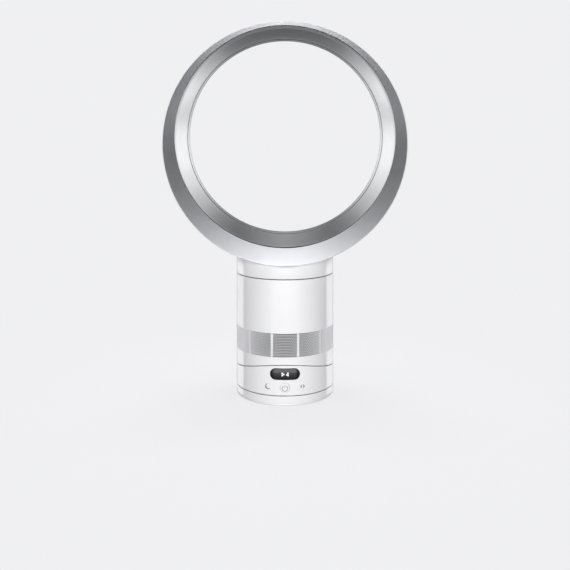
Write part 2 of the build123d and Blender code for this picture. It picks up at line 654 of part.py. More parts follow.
def support_ring():
    ring = tube(INNER_R, HOUSING_R + 1, SUPPORT_Z, SUPPORT_Z + PLATE_T)
    for place in around(6, HOUSING_R + 4.5, 30):
        ring -= place * disc(1.6, SUPPORT_Z - 1, SUPPORT_Z + PLATE_T + 1)
    return ring


def isolation_mounts():
    foot_z = SUPPORT_Z + PLATE_T
    mount = disc(3.4, foot_z, foot_z + MOUNT_H) - disc(1.0, foot_z - 1, foot_z + MOUNT_H + 1)
    return [place * mount for place in around(6, HOUSING_R + 4.5, 30)]


def blade(inner_r, outer_r, z0, z1, sweep, thickness):
    """A plate curved in plan, from inner_r to outer_r and bent back by the sweep angle."""
    end = (outer_r * math.cos(math.radians(sweep)), outer_r * math.sin(math.radians(sweep)))
    middle_r = (inner_r + outer_r) / 2
    middle = (middle_r * math.cos(math.radians(sweep * 0.36)),
              middle_r * math.sin(math.radians(sweep * 0.36)))
    spine = ThreePointArc((inner_r, 0), middle, end)
    face = trace(spine, thickness)
    return Pos(0, 0, z0) * extrude(face, z1 - z0)


def impeller():
    """Mixed-flow wheel: a conical hub, swept blades and an outer shroud."""
    z0, z1 = IMPELLER_Z0, IMPELLER_Z1
    hub_z1 = BUCKET_Z0 - 0.8
    out_r = HOUSING_IN_R - 1.2
    hub_r = BUCKET_R - 4
    hub = spin([(MOTOR_SHAFT_R + 0.02, z0), (9, z0), (14, z0 + 6), (hub_r, hub_z1 - 3),
                (hub_r, hub_z1), (MOTOR_SHAFT_R + 0.02, hub_z1)])
    shroud = spin([(EYE_R - 1.6, z0), (EYE_R, z0), (out_r, z1 - 4), (out_r, z1),
                   (out_r - 1.6, z1), (out_r - 1.6, z1 - 3.6)])
    passage = spin([(8.5, z0 + 0.5), (EYE_R - 1, z0 + 0.5), (out_r - 1, z1 - 4), (out_r - 1, z1),
                    (hub_r - 0.5, z1), (hub_r - 0.5, hub_z1 - 3.3), (13.5, z0 + 6)])
    wheel = hub + shroud
    plate = blade(8, out_r + 2, z0, z1, 62, 1.4) & passage
    for k in range(IMPELLER_BLADES):
        wheel += Rot(0, 0, 360 * k / IMPELLER_BLADES) * plate
    return wheel


def impeller_nut():
    nut = extrude(RegularPolygon(5, 6), 4)
    nut = Pos(0, 0, IMPELLER_Z0 - 4.05) * nut
    return nut - disc(MOTOR_SHAFT_R + 0.02, IMPELLER_Z0 - 10, IMPELLER_Z0 + 1)


def motor_bucket_lower():
    cup = disc(BUCKET_R, BUCKET_Z0, BUCKET_SPLIT_Z)
    cup -= disc(BUCKET_R - BUCKET_WALL, BUCKET_Z0 + 3, BUCKET_SPLIT_Z + 1)
    return cup - disc(BEARING_R + 0.02, BUCKET_Z0 - 1, BUCKET_Z0 + 4)


def motor_bucket_upper():
    """Rounded cone over the motor, with the upper bearing's seat in its floor."""
    z0, z1 = BUCKET_SPLIT_Z, BUCKET_Z1
    wall = BUCKET_WALL
    nose_r = BUCKET_R - 8
    cap = spin([(0, z0), (BUCKET_R, z0), (BUCKET_R, z0 + 5), (nose_r, z1 - 8), (14, z1), (0, z1)])
    hollow = spin([(0, z0 + 3), (BUCKET_R - wall, z0 + 3), (BUCKET_R - wall, z0 + 5),
                   (nose_r - wall, z1 - 8), (13, z1 - wall), (0, z1 - wall)])
    return cap - hollow - disc(BEARING_R + 0.02, z0 - 1, z0 + 4)


def diffuser_vanes():
    """Fixed vanes between the motor bucket and the housing, on one inner band."""
    inner_r, outer_r = BUCKET_R + 0.05, HOUSING_IN_R - 0.05
    z0, z1 = BUCKET_Z0 + 2, BUCKET_SPLIT_Z
    band = tube(inner_r + 1.5, inner_r, z0, z1)
    plate = blade(inner_r + 0.7, outer_r + 3, z0, z1, 28, 1.4) & tube(outer_r, inner_r + 0.5, z0, z1)
    for k in range(VANE_COUNT):
        band += Rot(0, 0, 360 * k / VANE_COUNT) * plate
    return band


def motor_stator():
    yoke_r = BUCKET_R - BUCKET_WALL - FIT
    core = tube(yoke_r, yoke_r - YOKE_W, STATOR_Z0, STATOR_Z1)
    tooth = block(ROTOR_R, yoke_r - 1, -POLE_W / 2, POLE_W / 2, STATOR_Z0, STATOR_Z1)
    for k in range(POLE_COUNT):
        core += Rot(0, 0, 360 * k / POLE_COUNT) * tooth
    return core - disc(ROTOR_R + AIR_GAP, STATOR_Z0 - 1, STATOR_Z1 + 1)


def motor_windings():
    outer_r = BUCKET_R - BUCKET_WALL - FIT - YOKE_W - 1.4
    inner_r = ROTOR_R + 4
    half_w = POLE_W / 2 + COIL_W
    coil = block(inner_r, outer_r, -half_w, half_w, STATOR_Z0 - 1.2, STATOR_Z1 + 1.2)
    coil -= block(inner_r - 1, outer_r + 1, -POLE_W / 2 - RUN, POLE_W / 2 + RUN,
                  STATOR_Z0 - RUN, STATOR_Z1 + RUN)
    return [Rot(0, 0, 360 * k / POLE_COUNT) * coil for k in range(POLE_COUNT)]


def bearing(z0):
    return tube(BEARING_R, MOTOR_SHAFT_R + 0.02, z0, z0 + 3)


def driver_board():
    z0 = BUCKET_SPLIT_Z + 3
    board = tube(BUCKET_R - BUCKET_WALL - 4, BEARING_R + 2, z0, z0 + 1.6)
    for place in around(3, 20, 20):
        board += place * disc(3, z0 + 1.5, z0 + 6)
    return board


def bayonet_ring():
    """Spigot on top of the body, with lugs that hold the loop down."""
    foot_z = BODY_TOP_Z - 9
    ring = tube(BAYONET_R, BAYONET_R - BAYONET_WALL, foot_z, BAYONET_TOP_Z)
    ring += tube(INNER_R, BAYONET_R - 1, foot_z, foot_z + PLATE_T)
    lug_z0 = LUG_Z0 + LUG_T + LUG_GAP
    for k in range(LUG_COUNT):
        angle = 45 + 360 * k / LUG_COUNT
        ring += ring_sector(BAYONET_R + LUG_REACH, BAYONET_R - 1, lug_z0, lug_z0 + LUG_T,
                            angle, LUG_ANGLE)
    return ring


def top_foam():
    foot_z = BODY_TOP_Z - 9
    return tube(BAYONET_R - BAYONET_WALL - FIT, HOUSING_R + 0.3, foot_z, BAYONET_TOP_Z)


def make_body():
    save("body_shell", body_shell())
    save("tilt_shoe", tilt_shoe())
    save("tilt_rail_left", tilt_rail(-RAIL_X))
    save("tilt_rail_right", tilt_rail(RAIL_X))
    save_group("rail_screws", rail_screws())
    save_group("glide_pads", glide_pads())
    save("floor_foam", floor_foam())
    save("inlet_bellmouth", inlet_bellmouth())
    save("impeller_housing", impeller_housing())
    save("housing_seal", housing_seal())
    save("support_ring", support_ring())
    save_group("isolation_mounts", isolation_mounts())
    save("motor_bucket_lower", motor_bucket_lower())
    save("motor_bucket_upper", motor_bucket_upper())
    save("diffuser_vanes", diffuser_vanes())
    save("motor_stator", motor_stator())
    save_group("motor_windings", motor_windings())
    save("lower_bearing", bearing(BUCKET_Z0))
    save("upper_bearing", bearing(BUCKET_SPLIT_Z))
    save("driver_board", driver_board())
    save("bayonet_ring", bayonet_ring())
    save("top_foam", top_foam())


def make_rotor():
    save("impeller", impeller())
    save("impeller_nut", impeller_nut())
    save("motor_shaft", disc(MOTOR_SHAFT_R, IMPELLER_Z0 - 6, BUCKET_SPLIT_Z + 9))
    save("motor_rotor", tube(ROTOR_R, MOTOR_SHAFT_R + 0.02, STATOR_Z0, STATOR_Z1))


# ---------------------------------------------------------------- loop
def loop_drum(grow):
    """Outside of the loop: a drum with a rounded rear edge, grown by a clearance."""
    body = drum(LIP_R + grow, LIP_Y + LIP_T - grow, LOOP_REAR_Y + grow, LOOP_Z)
    rear_edge = body.edges().filter_by(GeomType.CIRCLE).sort_by(Axis.Y)[-1]
    return fillet(rear_edge, LOOP_REAR_ROUND + grow)


def bevel_space(grow):
    """Cone in front of the bevel, about the lip's axis, grown by a wall. The inner wall is higher, so
    this cone meets it nearer the lip at the top than at the bottom."""
    slope = math.tan(math.radians(BEVEL_ANGLE))
    wider = grow / math.cos(math.radians(BEVEL_ANGLE))
    front_y = LIP_Y - 5
    rear_y = LIP_Y + GUIDE_W / slope + THROAT_RISE / slope + 6
    front_r = LIP_R - LIP_EDGE + wider + (LIP_Y - front_y) * slope
    rear_r = front_r - (rear_y - front_y) * slope
    return spin([(0, front_y), (front_r, front_y), (rear_r, rear_y), (0, rear_y)], LOOP_Z)


def loop_outer_shell():
    body = loop_drum(0)
    hollow = loop_drum(-LOOP_WALL) + drum(LIP_R - LOOP_WALL, LIP_Y, 0, LOOP_Z)
    body -= hollow
    body += drum(THROAT_R + NOZZLE_T, NOZZLE_FRONT_Y, LOOP_REAR_Y, THROAT_Z)
    body += drum(THROAT_R + THROAT_RIM, LOOP_REAR_Y - THROAT_RIM, LOOP_REAR_Y, THROAT_Z)
    body -= drum(THROAT_R, LIP_Y - 5, LOOP_REAR_Y + 5, THROAT_Z)
    body -= bevel_space(RING_WALL + FIT)
    throat_edge = (body.edges().filter_by(GeomType.CIRCLE)
                   .filter_by(lambda e: abs(e.radius - THROAT_R) < 0.01).sort_by(Axis.Y)[-1])
    body = fillet(throat_edge, THROAT_ROUND)
    half_w = BODY_R - AIR_HOLE_EDGE
    air_hole = block(-half_w, half_w, LIP_Y + AIR_HOLE_FRONT, LOOP_REAR_Y - AIR_HOLE_REAR,
                     LOOP_LOW_Z - 5, THROAT_Z - THROAT_R - 4)
    return body - air_hole


def coanda_ring():
    """Inner wall of the loop: a flaring surface that starts behind the air slot's edge."""
    rear_y = LOOP_REAR_Y - THROAT_RIM - RING_REAR_GAP
    wall = RING_WALL
    points = [(COANDA_R, rear_y - 1), (COANDA_R + 0.6, rear_y), (COANDA_R + wall + 1, rear_y),
              (COANDA_R + wall, rear_y - 4), (GUIDE_R + wall, FLARE_Y), (GUIDE_R + wall, LIP_Y),
              (GUIDE_R, LIP_Y), (GUIDE_R, FLARE_Y),
              (COANDA_R + 0.9, NOZZLE_FRONT_Y - 14), (COANDA_R, NOZZLE_FRONT_Y - 4)]
    return spin(points, THROAT_Z) - bevel_space(0)


def front_ring():
    """Front bevel from the inner wall out to the lip, with the rim that covers the outer shell."""
    ring = bevel_space(RING_WALL) & drum(LIP_R, LIP_Y, LOOP_REAR_Y, LOOP_Z)
    ring += drum(LIP_R, LIP_Y, LIP_Y + LIP_T, LOOP_Z)
    ring -= bevel_space(0)
    return ring - drum(GUIDE_R + RING_WALL + RUN, LIP_Y - 5, LOOP_REAR_Y, THROAT_Z)


def slot_spacers():
    """Small ribs that keep the air slot open evenly."""
    gap = tube(COANDA_R - 0.05, THROAT_R + NOZZLE_T + 0.05, -LOOP_REAR_Y, 0)
    ribs = []
    for k in range(SPACER_COUNT):
        rib = Rot(0, 0, 15 + 360 * k / SPACER_COUNT) * block(THROAT_R, COANDA_R + 1, -1, 1,
                                                           NOZZLE_FRONT_Y + 1, NOZZLE_FRONT_Y + 5)
        rib &= tube(COANDA_R - 0.05, THROAT_R + NOZZLE_T + 0.05, NOZZLE_FRONT_Y, NOZZLE_FRONT_Y + 6)
        ribs.append(Pos(0, 0, THROAT_Z) * Rot(-90, 0, 0) * rib)
    return ribs


def neck_region(radius, drop):
    """Space below the neck's sloping rear shoulder, lowered by drop, within a radius."""
    reach = 2 * BODY_D
    slope = math.radians(SHOULDER_SLOPE)
    z_rear = SHOULDER_Z - drop / math.cos(slope)
    run = 2 * BODY_D
    outline = Polyline((BODY_R, NECK_Z - 1), (BODY_R + 1, NECK_Z - 1),
                       (BODY_R + 1, z_rear - math.tan(slope)),
                       (BODY_R - run, z_rear + run * math.tan(slope)),
                       (BODY_R - run, NECK_Z - 1), (BODY_R, NECK_Z - 1))
    wedge = Pos(-reach / 2, 0, 0) * extrude(Plane.YZ * make_face(outline), reach)
    return disc(radius, NECK_Z, LOOP_LOW_Z + 75) & wedge


def loop_neck():
    outer = neck_region(BODY_R, 0)
    slope_edges = [e for e in outer.edges() if e.center().Y > 0 and e.center().Z > NECK_Z + 2
                   and e.geom_type == GeomType.ELLIPSE]
    outer = fillet(slope_edges, SHOULDER_ROUND)
    neck = outer - neck_region(BODY_R - NECK_WALL, NECK_WALL)
    shelf_z = BAYONET_TOP_Z + 0.3 + SEAL_T
    neck += tube(BODY_R - NECK_WALL + 0.5, BAYONET_R - 5, shelf_z, shelf_z + 2)
    for k in range(LUG_COUNT):
        angle = 45 + 360 * k / LUG_COUNT
        neck += ring_sector(BODY_R - NECK_WALL + 0.5, BAYONET_R + LUG_GAP, LUG_Z0,
                            LUG_Z0 + LUG_T, angle, LUG_ANGLE)
    return neck - loop_drum(FIT) - drum(LIP_R + FIT, LIP_Y - 5, LIP_Y + 10, LOOP_Z)


def neck_seal():
    z0 = BAYONET_TOP_Z + 0.3
    return tube(BAYONET_R, BAYONET_R - 5, z0, z0 + SEAL_T)


def make_loop():
    save("loop_outer_shell", loop_outer_shell())
    save("coanda_ring", coanda_ring())
    save("front_ring", front_ring())
    save_group("slot_spacers", slot_spacers())
    save("loop_neck", loop_neck())
    save("neck_seal", neck_seal())


os.makedirs("parts", exist_ok=True)
make_foot()
make_control_base()
make_body()
make_rotor()
make_loop()
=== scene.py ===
import json
import math

import bmesh
import bpy
import numpy as np
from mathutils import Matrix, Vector


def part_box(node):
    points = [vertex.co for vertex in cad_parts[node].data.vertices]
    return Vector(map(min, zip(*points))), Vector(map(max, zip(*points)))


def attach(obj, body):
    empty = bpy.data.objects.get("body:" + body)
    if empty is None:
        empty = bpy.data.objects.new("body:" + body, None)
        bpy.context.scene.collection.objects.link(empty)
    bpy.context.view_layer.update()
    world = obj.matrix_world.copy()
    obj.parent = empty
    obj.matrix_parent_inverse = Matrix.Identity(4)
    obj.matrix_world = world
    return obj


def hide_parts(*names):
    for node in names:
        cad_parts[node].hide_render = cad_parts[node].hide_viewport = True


# A bladeless desk fan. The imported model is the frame; the round white casings, the silver and white
# loop, the window, the button and the printed marks are made here round it.
# Metres, +Z up, the front faces -Y. Lengths below are in millimetres, and MM turns them into metres.

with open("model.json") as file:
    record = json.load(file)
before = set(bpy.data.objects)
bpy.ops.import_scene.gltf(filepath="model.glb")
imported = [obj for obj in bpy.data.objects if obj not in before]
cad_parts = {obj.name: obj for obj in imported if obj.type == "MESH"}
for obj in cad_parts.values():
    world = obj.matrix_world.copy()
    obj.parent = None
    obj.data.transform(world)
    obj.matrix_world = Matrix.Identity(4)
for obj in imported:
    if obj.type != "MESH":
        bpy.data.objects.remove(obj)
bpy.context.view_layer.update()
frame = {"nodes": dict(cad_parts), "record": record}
scene = bpy.context.scene
MM = 0.001


def low(node):
    """Lowest corner of a CAD node, in millimetres."""
    return np.array(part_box(node)[0]) * 1000


def high(node):
    """Highest corner of a CAD node, in millimetres."""
    return np.array(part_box(node)[1]) * 1000


# ---------------- sizes, in millimetres
BODY_R = high("body_shell")[0]
WALL = 2.5
WALL_IN_R = BODY_R - WALL
SEAM_ROUND = 0.55
FOOT_TOP = high("foot_shell")[2] + 0.2
FOOT_LOW = low("foot_shell")[2] - 0.7
FOOT_ROUND = 5.0
FLANGE_R, FLANGE_IN_Z = 66.1, 4.1      # the foot's turned-in lower edge
DECK_R, DECK_DROP, DECK_IN_Z = 20.1, 1.6, 12.0     # the foot's sunk top
BASE_LOW = low("control_shell")[2] + 0.5
BODY_TOP = high("body_shell")[2] - 0.3
SADDLE_R = 200.0
SADDLE_GAP = 0.88
SADDLE_Z = low("body_shell")[2] + SADDLE_R

LIP_R = high("front_ring")[0]
LOOP_Z = high("front_ring")[2] - LIP_R
LIP_Y = low("front_ring")[1]
REAR_Y = high("loop_outer_shell")[1]
DRUM_ROUND = 11.0                      # outer rounding at the loop's rear
THROAT_LIFT = 8.5
THROAT_Z = LOOP_Z + THROAT_LIFT
THROAT_R, THROAT_RIM = 149.0, 6.0
COANDA_R = 150.4
GUIDE_R = 160.7
FLARE_REAR_Y, FLARE_FRONT_Y = 24.0, LIP_Y + 34.0
INNER_WALL_Y = -60.0                   # front of the inner wall before it is fitted to the bevel
BEVEL_SLOPE = math.tan(math.radians(35.5))
LIP_IN_R = LIP_R - 0.8
NOZZLE_R, NOZZLE_Y = THROAT_R + 1.05, 23.5
LINING_END_Y, LINING_GAP = 39.0, 0.12
RIBS = 12
RIB_HALF, RIB_FRONT_Y, RIB_REAR_Y = 1.5, 25.2, 29.2
RIB_IN_R, RIB_OUT_R = 150.0, 151.6
NECK_LOW = low("loop_neck")[2] + 0.35
NECK_IN_R = BODY_R - 6.0
NECK_ROUND, NECK_GAP = 3.4, 0.7
SHOULDER_Z = 197.0
SHOULDER_SLOPE = math.tan(math.radians(40))

LENS_W, LENS_H = 43.0, 16.6
LENS_Z = (low("display_lens")[2] + high("display_lens")[2]) / 2
BUTTON_R = 6.7
BUTTON_Z = (low("power_button")[2] + high("power_button")[2]) / 2
SOCKET_R, SOCKET_Z = 3.4, 8.0
LENS_GAP, BUTTON_GAP = 0.15, 0.25
MARK_PROUD, LIT_PROUD, MARK_SUNK = 0.035, 0.42, 0.25

# ---------------- finishes


def nodes_of(material):
    tree = material.node_tree
    return tree.nodes, tree.links


def new_finish(name, base, rough, metallic=0.0, **sockets):
    """A Principled material with its plain numbers on the shader's own sockets."""
    material = bpy.data.materials.new(name)
    material.use_nodes = True
    shader = material.node_tree.nodes["Principled BSDF"]
    shader.inputs["Base Color"].default_value = (*base, 1)
    shader.inputs["Roughness"].default_value = rough
    shader.inputs["Metallic"].default_value = metallic
    for socket, value in sockets.items():
        shader.inputs[socket.replace("_", " ")].default_value = value
    return material, shader


def calc(tree, operation, *values):
    """A Math node's output. Each value is a number or another node's output."""
    node = tree.nodes.new("ShaderNodeMath")
    node.operation = operation
    for socket, value in zip(node.inputs, values):
        if isinstance(value, (int, float)):
            socket.default_value = value
        else:
            tree.links.new(value, socket)
    return node.outputs[0]


def axes(tree, output):
    """X, Y and Z of one kind of texture coordinates."""
    place = tree.nodes.new("ShaderNodeTexCoord")
    split = tree.nodes.new("ShaderNodeSeparateXYZ")
    tree.links.new(place.outputs[output], split.inputs[0])
    return split.outputs


def object_pattern(material, kind, scale, stretch=(1, 1, 1), bands=None, **values):
    """A texture on Object coordinates, in repeats per metre, stretched along the axes. bands is the
    direction across a wave's bands."""
    nodes, links = nodes_of(material)
    place = nodes.new("ShaderNodeTexCoord")
    mapping = nodes.new("ShaderNodeMapping")
    mapping.inputs["Scale"].default_value = stretch
    texture = nodes.new("ShaderNodeTex" + kind)
    texture.inputs["Scale"].default_value = scale
    if bands:
        texture.wave_type, texture.bands_direction = "BANDS", bands
    for socket, value in values.items():
        texture.inputs[socket].default_value = value
    links.new(place.outputs["Object"], mapping.inputs["Vector"])
    links.new(mapping.outputs["Vector"], texture.inputs["Vector"])
    return texture


def vary_color(material, shader, source, first, second, start=0.35, end=0.65):
    """Base colour runs from first to second as the source goes from start to end."""
    nodes, links = nodes_of(material)
    ramp = nodes.new("ShaderNodeValToRGB")
    for element, place, color in zip(ramp.color_ramp.elements, (start, end), (first, second)):
        element.position = place
        element.color = (*color, 1)
    links.new(source, ramp.inputs["Fac"])
    links.new(ramp.outputs["Color"], shader.inputs["Base Color"])


def vary_rough(material, shader, source, least, most):
    """Roughness runs from least to most as the source goes from 0.3 to 0.7."""
    nodes, links = nodes_of(material)
    spread = nodes.new("ShaderNodeMapRange")
    for socket, value in (("From Min", 0.3), ("From Max", 0.7), ("To Min", least), ("To Max", most)):
        spread.inputs[socket].default_value = value
    links.new(source, spread.inputs["Value"])
    links.new(spread.outputs["Result"], shader.inputs["Roughness"])


def raise_surface(material, shader, source, depth_mm, strength=1.0):
    nodes, links = nodes_of(material)
    bump = nodes.new("ShaderNodeBump")
    bump.inputs["Strength"].default_value = strength
    bump.inputs["Distance"].default_value = depth_mm * MM
    links.new(source, bump.inputs["Height"])
    links.new(bump.outputs["Normal"], shader.inputs["Normal"])


def shade(color, factor):
    return tuple(min(1.0, c * factor) for c in color)


def moulded(name, base, rough, grain, depth_mm, spread=0.04, **sockets):
    """Moulded plastic or paint: faint cloudy tone, a fine skin texture and uneven gloss."""
    material, shader = new_finish(name, base, rough, **sockets)
    cloud = object_pattern(material, "Noise", 22, Detail=3.0).outputs["Fac"]
    vary_color(material, shader, cloud, shade(base, 1 - spread), shade(base, 1 + spread))
    skin = object_pattern(material, "Noise", grain, Detail=2.0).outputs["Fac"]
    vary_rough(material, shader, skin, rough * 0.85, rough * 1.15)
    raise_surface(material, shader, skin, depth_mm)
    return material


def patterned(name, base, rough, pattern, tones, depth_mm, output="Fac", span=(0.35, 0.65),
              gloss=None, metallic=0.0, **sockets):
    """A finish from one pattern. Across span it shades the base between two tones, and it raises the
    surface. With gloss, it moves the roughness too."""
    material, shader = new_finish(name, base, rough, metallic, **sockets)
    source = object_pattern(material, **pattern).outputs[output]
    vary_color(material, shader, source, shade(base, tones[0]), shade(base, tones[1]), *span)
    if gloss:
        vary_rough(material, shader, source, *gloss)
    raise_surface(material, shader, source, depth_mm)
    return material


WHITE = (0.870, 0.866, 0.892)
INLET_WHITE, INLET_ROUGH = (0.82, 0.82, 0.85), 0.5


def polished_white(name="white_plastic"):
    return moulded(name, WHITE, 0.13, 260, 0.0035, spread=0.006, IOR=1.5)


def inlet_white(low_mm, high_mm):
    """Polished white, with the band of the air inlet between two heights satin and a shade greyer."""
    material = polished_white("white_plastic_inlet")
    tree = material.node_tree
    shader = tree.nodes["Principled BSDF"]
    height = axes(tree, "Object")["Z"]
    inside = calc(tree, "MULTIPLY", calc(tree, "GREATER_THAN", height, low_mm * MM),
                  calc(tree, "LESS_THAN", height, high_mm * MM))
    # A Mix node has its own sockets for each kind of data: first value, second value and result.
    for socket, kind, value, first, second, out in (
            ("Roughness", "FLOAT", INLET_ROUGH, 2, 3, 0),
            ("Base Color", "RGBA", (*INLET_WHITE, 1), 6, 7, 2)):
        polished = shader.inputs[socket].links[0].from_socket
        mix = tree.nodes.new("ShaderNodeMix")
        mix.data_type = kind
        mix.inputs[second].default_value = value
        tree.links.new(inside, mix.inputs[0])
        tree.links.new(polished, mix.inputs[first])
        tree.links.new(mix.outputs[out], shader.inputs[socket])
    return material


def satin_silver(name, least, most):
    """Silver paint on plastic: fine metal flakes under a soft satin top, between two roughnesses."""
    base = (0.580, 0.588, 0.606)
    material, shader = new_finish(name, base, least, 1.0)
    cloud = object_pattern(material, "Noise", 60, Detail=3.0).outputs["Fac"]
    vary_color(material, shader, cloud, shade(base, 0.98), shade(base, 1.02))
    flake = object_pattern(material, "Voronoi", 2600).outputs["Distance"]
    vary_rough(material, shader, flake, least, most)
    raise_surface(material, shader, flake, 0.0004, 0.3)
    return material


def lit_segment():
    """White light-emitting digit under the window."""
    material, shader = new_finish("lit_digit", (0.8, 0.8, 0.82), 0.4, Emission_Strength=0.55)
    shader.inputs["Emission Color"].default_value = (1.0, 1.0, 1.0, 1)
    dots = object_pattern(material, "Noise", 900).outputs["Fac"]
    vary_color(material, shader, dots, (0.72, 0.72, 0.74), (0.88, 0.88, 0.9))
    return material


def board_green():
    """Solder mask over copper tracks, with pale pads."""
    material, shader = new_finish("circuit_board", (0.02, 0.12, 0.06), 0.35)
    tracks = object_pattern(material, "Brick", 160, Color1=(0.015, 0.11, 0.055, 1),
                            Color2=(0.02, 0.15, 0.07, 1), Mortar=(0.05, 0.24, 0.11, 1))
    material.node_tree.links.new(tracks.outputs["Color"], shader.inputs["Base Color"])
    raise_surface(material, shader, tracks.outputs["Fac"], 0.03)
    return material


def banded(name, base, rough, pitch_mm, depth_mm):
    """Metal bands stacked along Z: laminations, or turns of wire. A wave texture has one band in
    0.159 of its scale's unit."""
    pattern = dict(kind="Wave", scale=1000 / pitch_mm * 0.159, bands="Z", Distortion=0.15)
    return patterned(name, base, rough, pattern, (0.55, 1.15), depth_mm, span=(0.1, 0.9),
                     metallic=1.0)


FINISHES = {
    "white_shell": polished_white(),
    "silver_ring": satin_silver("satin_silver", 0.24, 0.28),
    "dark_plastic": moulded("dark_plastic", (0.035, 0.035, 0.038), 0.5, 700, 0.03, 0.12),
    "grey_plastic": moulded("grey_plastic", (0.17, 0.175, 0.185), 0.42, 600, 0.02, 0.08),
    "impeller_plastic": moulded("impeller_plastic", (0.045, 0.045, 0.05), 0.38, 500, 0.015, 0.1),
    # deep gloss with faint moulding waves
    "display_glass": patterned("smoked_window", (0.012, 0.012, 0.014), 0.06,
                               dict(kind="Noise", scale=140, Detail=1.0), (0.8, 1.2), 0.002,
                               gloss=(0.05, 0.08), IOR=1.8),
    "button_white": moulded("button_white", WHITE, 0.16, 320, 0.004, 0.006),
    "rubber": moulded("black_rubber", (0.018, 0.018, 0.019), 0.85, 900, 0.06, 0.15),
    "foam": patterned("open_foam", (0.035, 0.035, 0.038), 0.95, dict(kind="Voronoi", scale=900),
                      (0.4, 1.6), 0.4, "Distance", (0.1, 0.6)),
    "circuit_board": board_green(),
    "steel": patterned("machined_steel", (0.56, 0.56, 0.57), 0.3,
                       dict(kind="Noise", scale=500, stretch=(1, 1, 14), Detail=2.0), (0.85, 1.1),
                       0.006, gloss=(0.24, 0.4), metallic=1.0),
    "motor_iron": banded("iron_laminations", (0.18, 0.18, 0.19), 0.5, 0.5, 0.05),
    "copper_wire": banded("copper_wire", (0.55, 0.20, 0.07), 0.3, 0.6, 0.1),
}
# Grey ink with the faint speckle of pad printing, and a near-black sheet of crossed threads behind
# the inlet, whose black is painted shade for the inside of the body seen through the holes.
PRINT = patterned("printed_grey", (0.30, 0.30, 0.315), 0.45,
                  dict(kind="Noise", scale=3200, Detail=1.0), (0.9, 1.1), 0.003)
SHADE_SHEET = patterned("painted_shade_sheet", (0.012, 0.012, 0.013), 0.95,
                  dict(kind="Wave", scale=320, bands="DIAGONAL", Distortion=1.5), (0.5, 1.5), 0.05)
DIGIT = lit_segment()
BEVEL = satin_silver("satin_silver_bevel", 0.34, 0.38)

for part in frame["record"]["subparts"]:
    node = frame["nodes"][part["node"]]
    node.data.materials.clear()
    node.data.materials.append(FINISHES[part["material_slot"]])

# ---------------- meshes from arrays


def signed_volume(points, quads):
    """Volume enclosed by the faces; it is negative where they are inside out."""
    a, b, c, d = (points[quads[:, k]] for k in range(4))
    fan = np.cross(b, c) + np.cross(c, d)
    return float((a * fan).sum()) / 6


def add_piece(name, body, slot, points, quads, stands_for=(), finish=None, sharp_deg=32):
    """A closed mesh piece of four-sided faces, turned outward, smooth apart from its sharp edges.
    points are in millimetres."""
    points = np.asarray(points, float) * MM
    quads = np.asarray(quads)
    if signed_volume(points, quads) < 0:
        quads = quads[:, ::-1]
    mesh = bpy.data.meshes.new(name)
    mesh.vertices.add(len(points))
    mesh.vertices.foreach_set("co", points.astype(np.float32).ravel())
    mesh.loops.add(quads.size)
    mesh.loops.foreach_set("vertex_index", quads.astype(np.int32).ravel())
    mesh.polygons.add(len(quads))
    mesh.polygons.foreach_set("loop_start", np.arange(0, quads.size, 4, dtype=np.int32))
    mesh.update(calc_edges=True)
    mesh.validate()
    mesh.polygons.foreach_set("use_smooth", np.ones(len(mesh.polygons), bool))
    mesh.set_sharp_from_angle(angle=math.radians(sharp_deg))
    mesh.materials.append(finish or FINISHES[slot])
    piece = bpy.data.objects.new(name, mesh)
    scene.collection.objects.link(piece)
    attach(piece, body)
    if stands_for:
        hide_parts(*stands_for)
    return piece


def grid_faces(rows, columns, closed=True):
    """Faces of a grid of points, row * columns + column, that closes on itself along each row. If
    closed, the last row joins the first."""
    i, j = np.meshgrid(np.arange(rows if closed else rows - 1), np.arange(columns), indexing="ij")
    i2, j2 = (i + 1) % rows, (j + 1) % columns
    return np.stack([i * columns + j, i2 * columns + j, i2 * columns + j2, i * columns + j2],
                    -1).reshape(-1, 4)


GUARD = 0.4     # distance of a guard point from a rounded edge


def rounded(corners, radii, steps):
    """Closed outlines (..., corners, 2), each corner replaced by an arc that touches both its sides.
    The arc's centre is radius / sin(half angle) along the bisector, and steps points sweep it. Guard
    points on the straight sides, close to the arc, keep the flat faces' shading flat."""
    p = np.asarray(corners, float)
    radii = np.broadcast_to(np.asarray(radii, float), p.shape[:-1])[..., None]
    u = np.roll(p, 1, -2) - p
    v = np.roll(p, -1, -2) - p
    length = np.linalg.norm(v, axis=-1, keepdims=True)
    u /= np.linalg.norm(u, axis=-1, keepdims=True)
    v /= length
    half = np.arccos(np.clip((u * v).sum(-1, keepdims=True), -1, 1)) / 2
    bisector = u + v
    bisector /= np.linalg.norm(bisector, axis=-1, keepdims=True)
    cut = radii / np.tan(half)
    centre = p + bisector * radii / np.sin(half)
    first = (p + u * cut - centre)[..., None, :]
    last = (p + v * cut - centre)[..., None, :]
    sweep = (np.pi - 2 * half)[..., None, :]
    t = np.linspace(0, 1, steps)[:, None]
    arcs = (np.sin((1 - t) * sweep) * first + np.sin(t * sweep) * last) / np.sin(sweep)
    arcs += centre[..., None, :]
    after = np.minimum(GUARD, 0.3 * (length - cut - np.roll(cut, -1, -2)))
    before = np.roll(after, 1, -2)
    lead = (p + u * (cut + before))[..., None, :]
    trail = (p + v * (cut + after))[..., None, :]
    return np.concatenate([lead, arcs, trail], -2).reshape(p.shape[:-2] + (-1, 2))


def divided(outline, longest):
    """The same closed outline with further points, so that no side is longer than about longest."""
    closed = np.concatenate([outline, outline[:1]])
    run = np.r_[0, np.cumsum(np.linalg.norm(np.diff(closed, axis=0), axis=1))]
    extra = np.arange(0, run[-1], longest)
    near = np.abs(extra[:, None] - run[None, :]).min(1)
    places = np.sort(np.r_[run[:-1], extra[near > 0.3 * longest]])
    return np.stack([np.interp(places, run, closed[:, k]) for k in (0, 1)], -1)


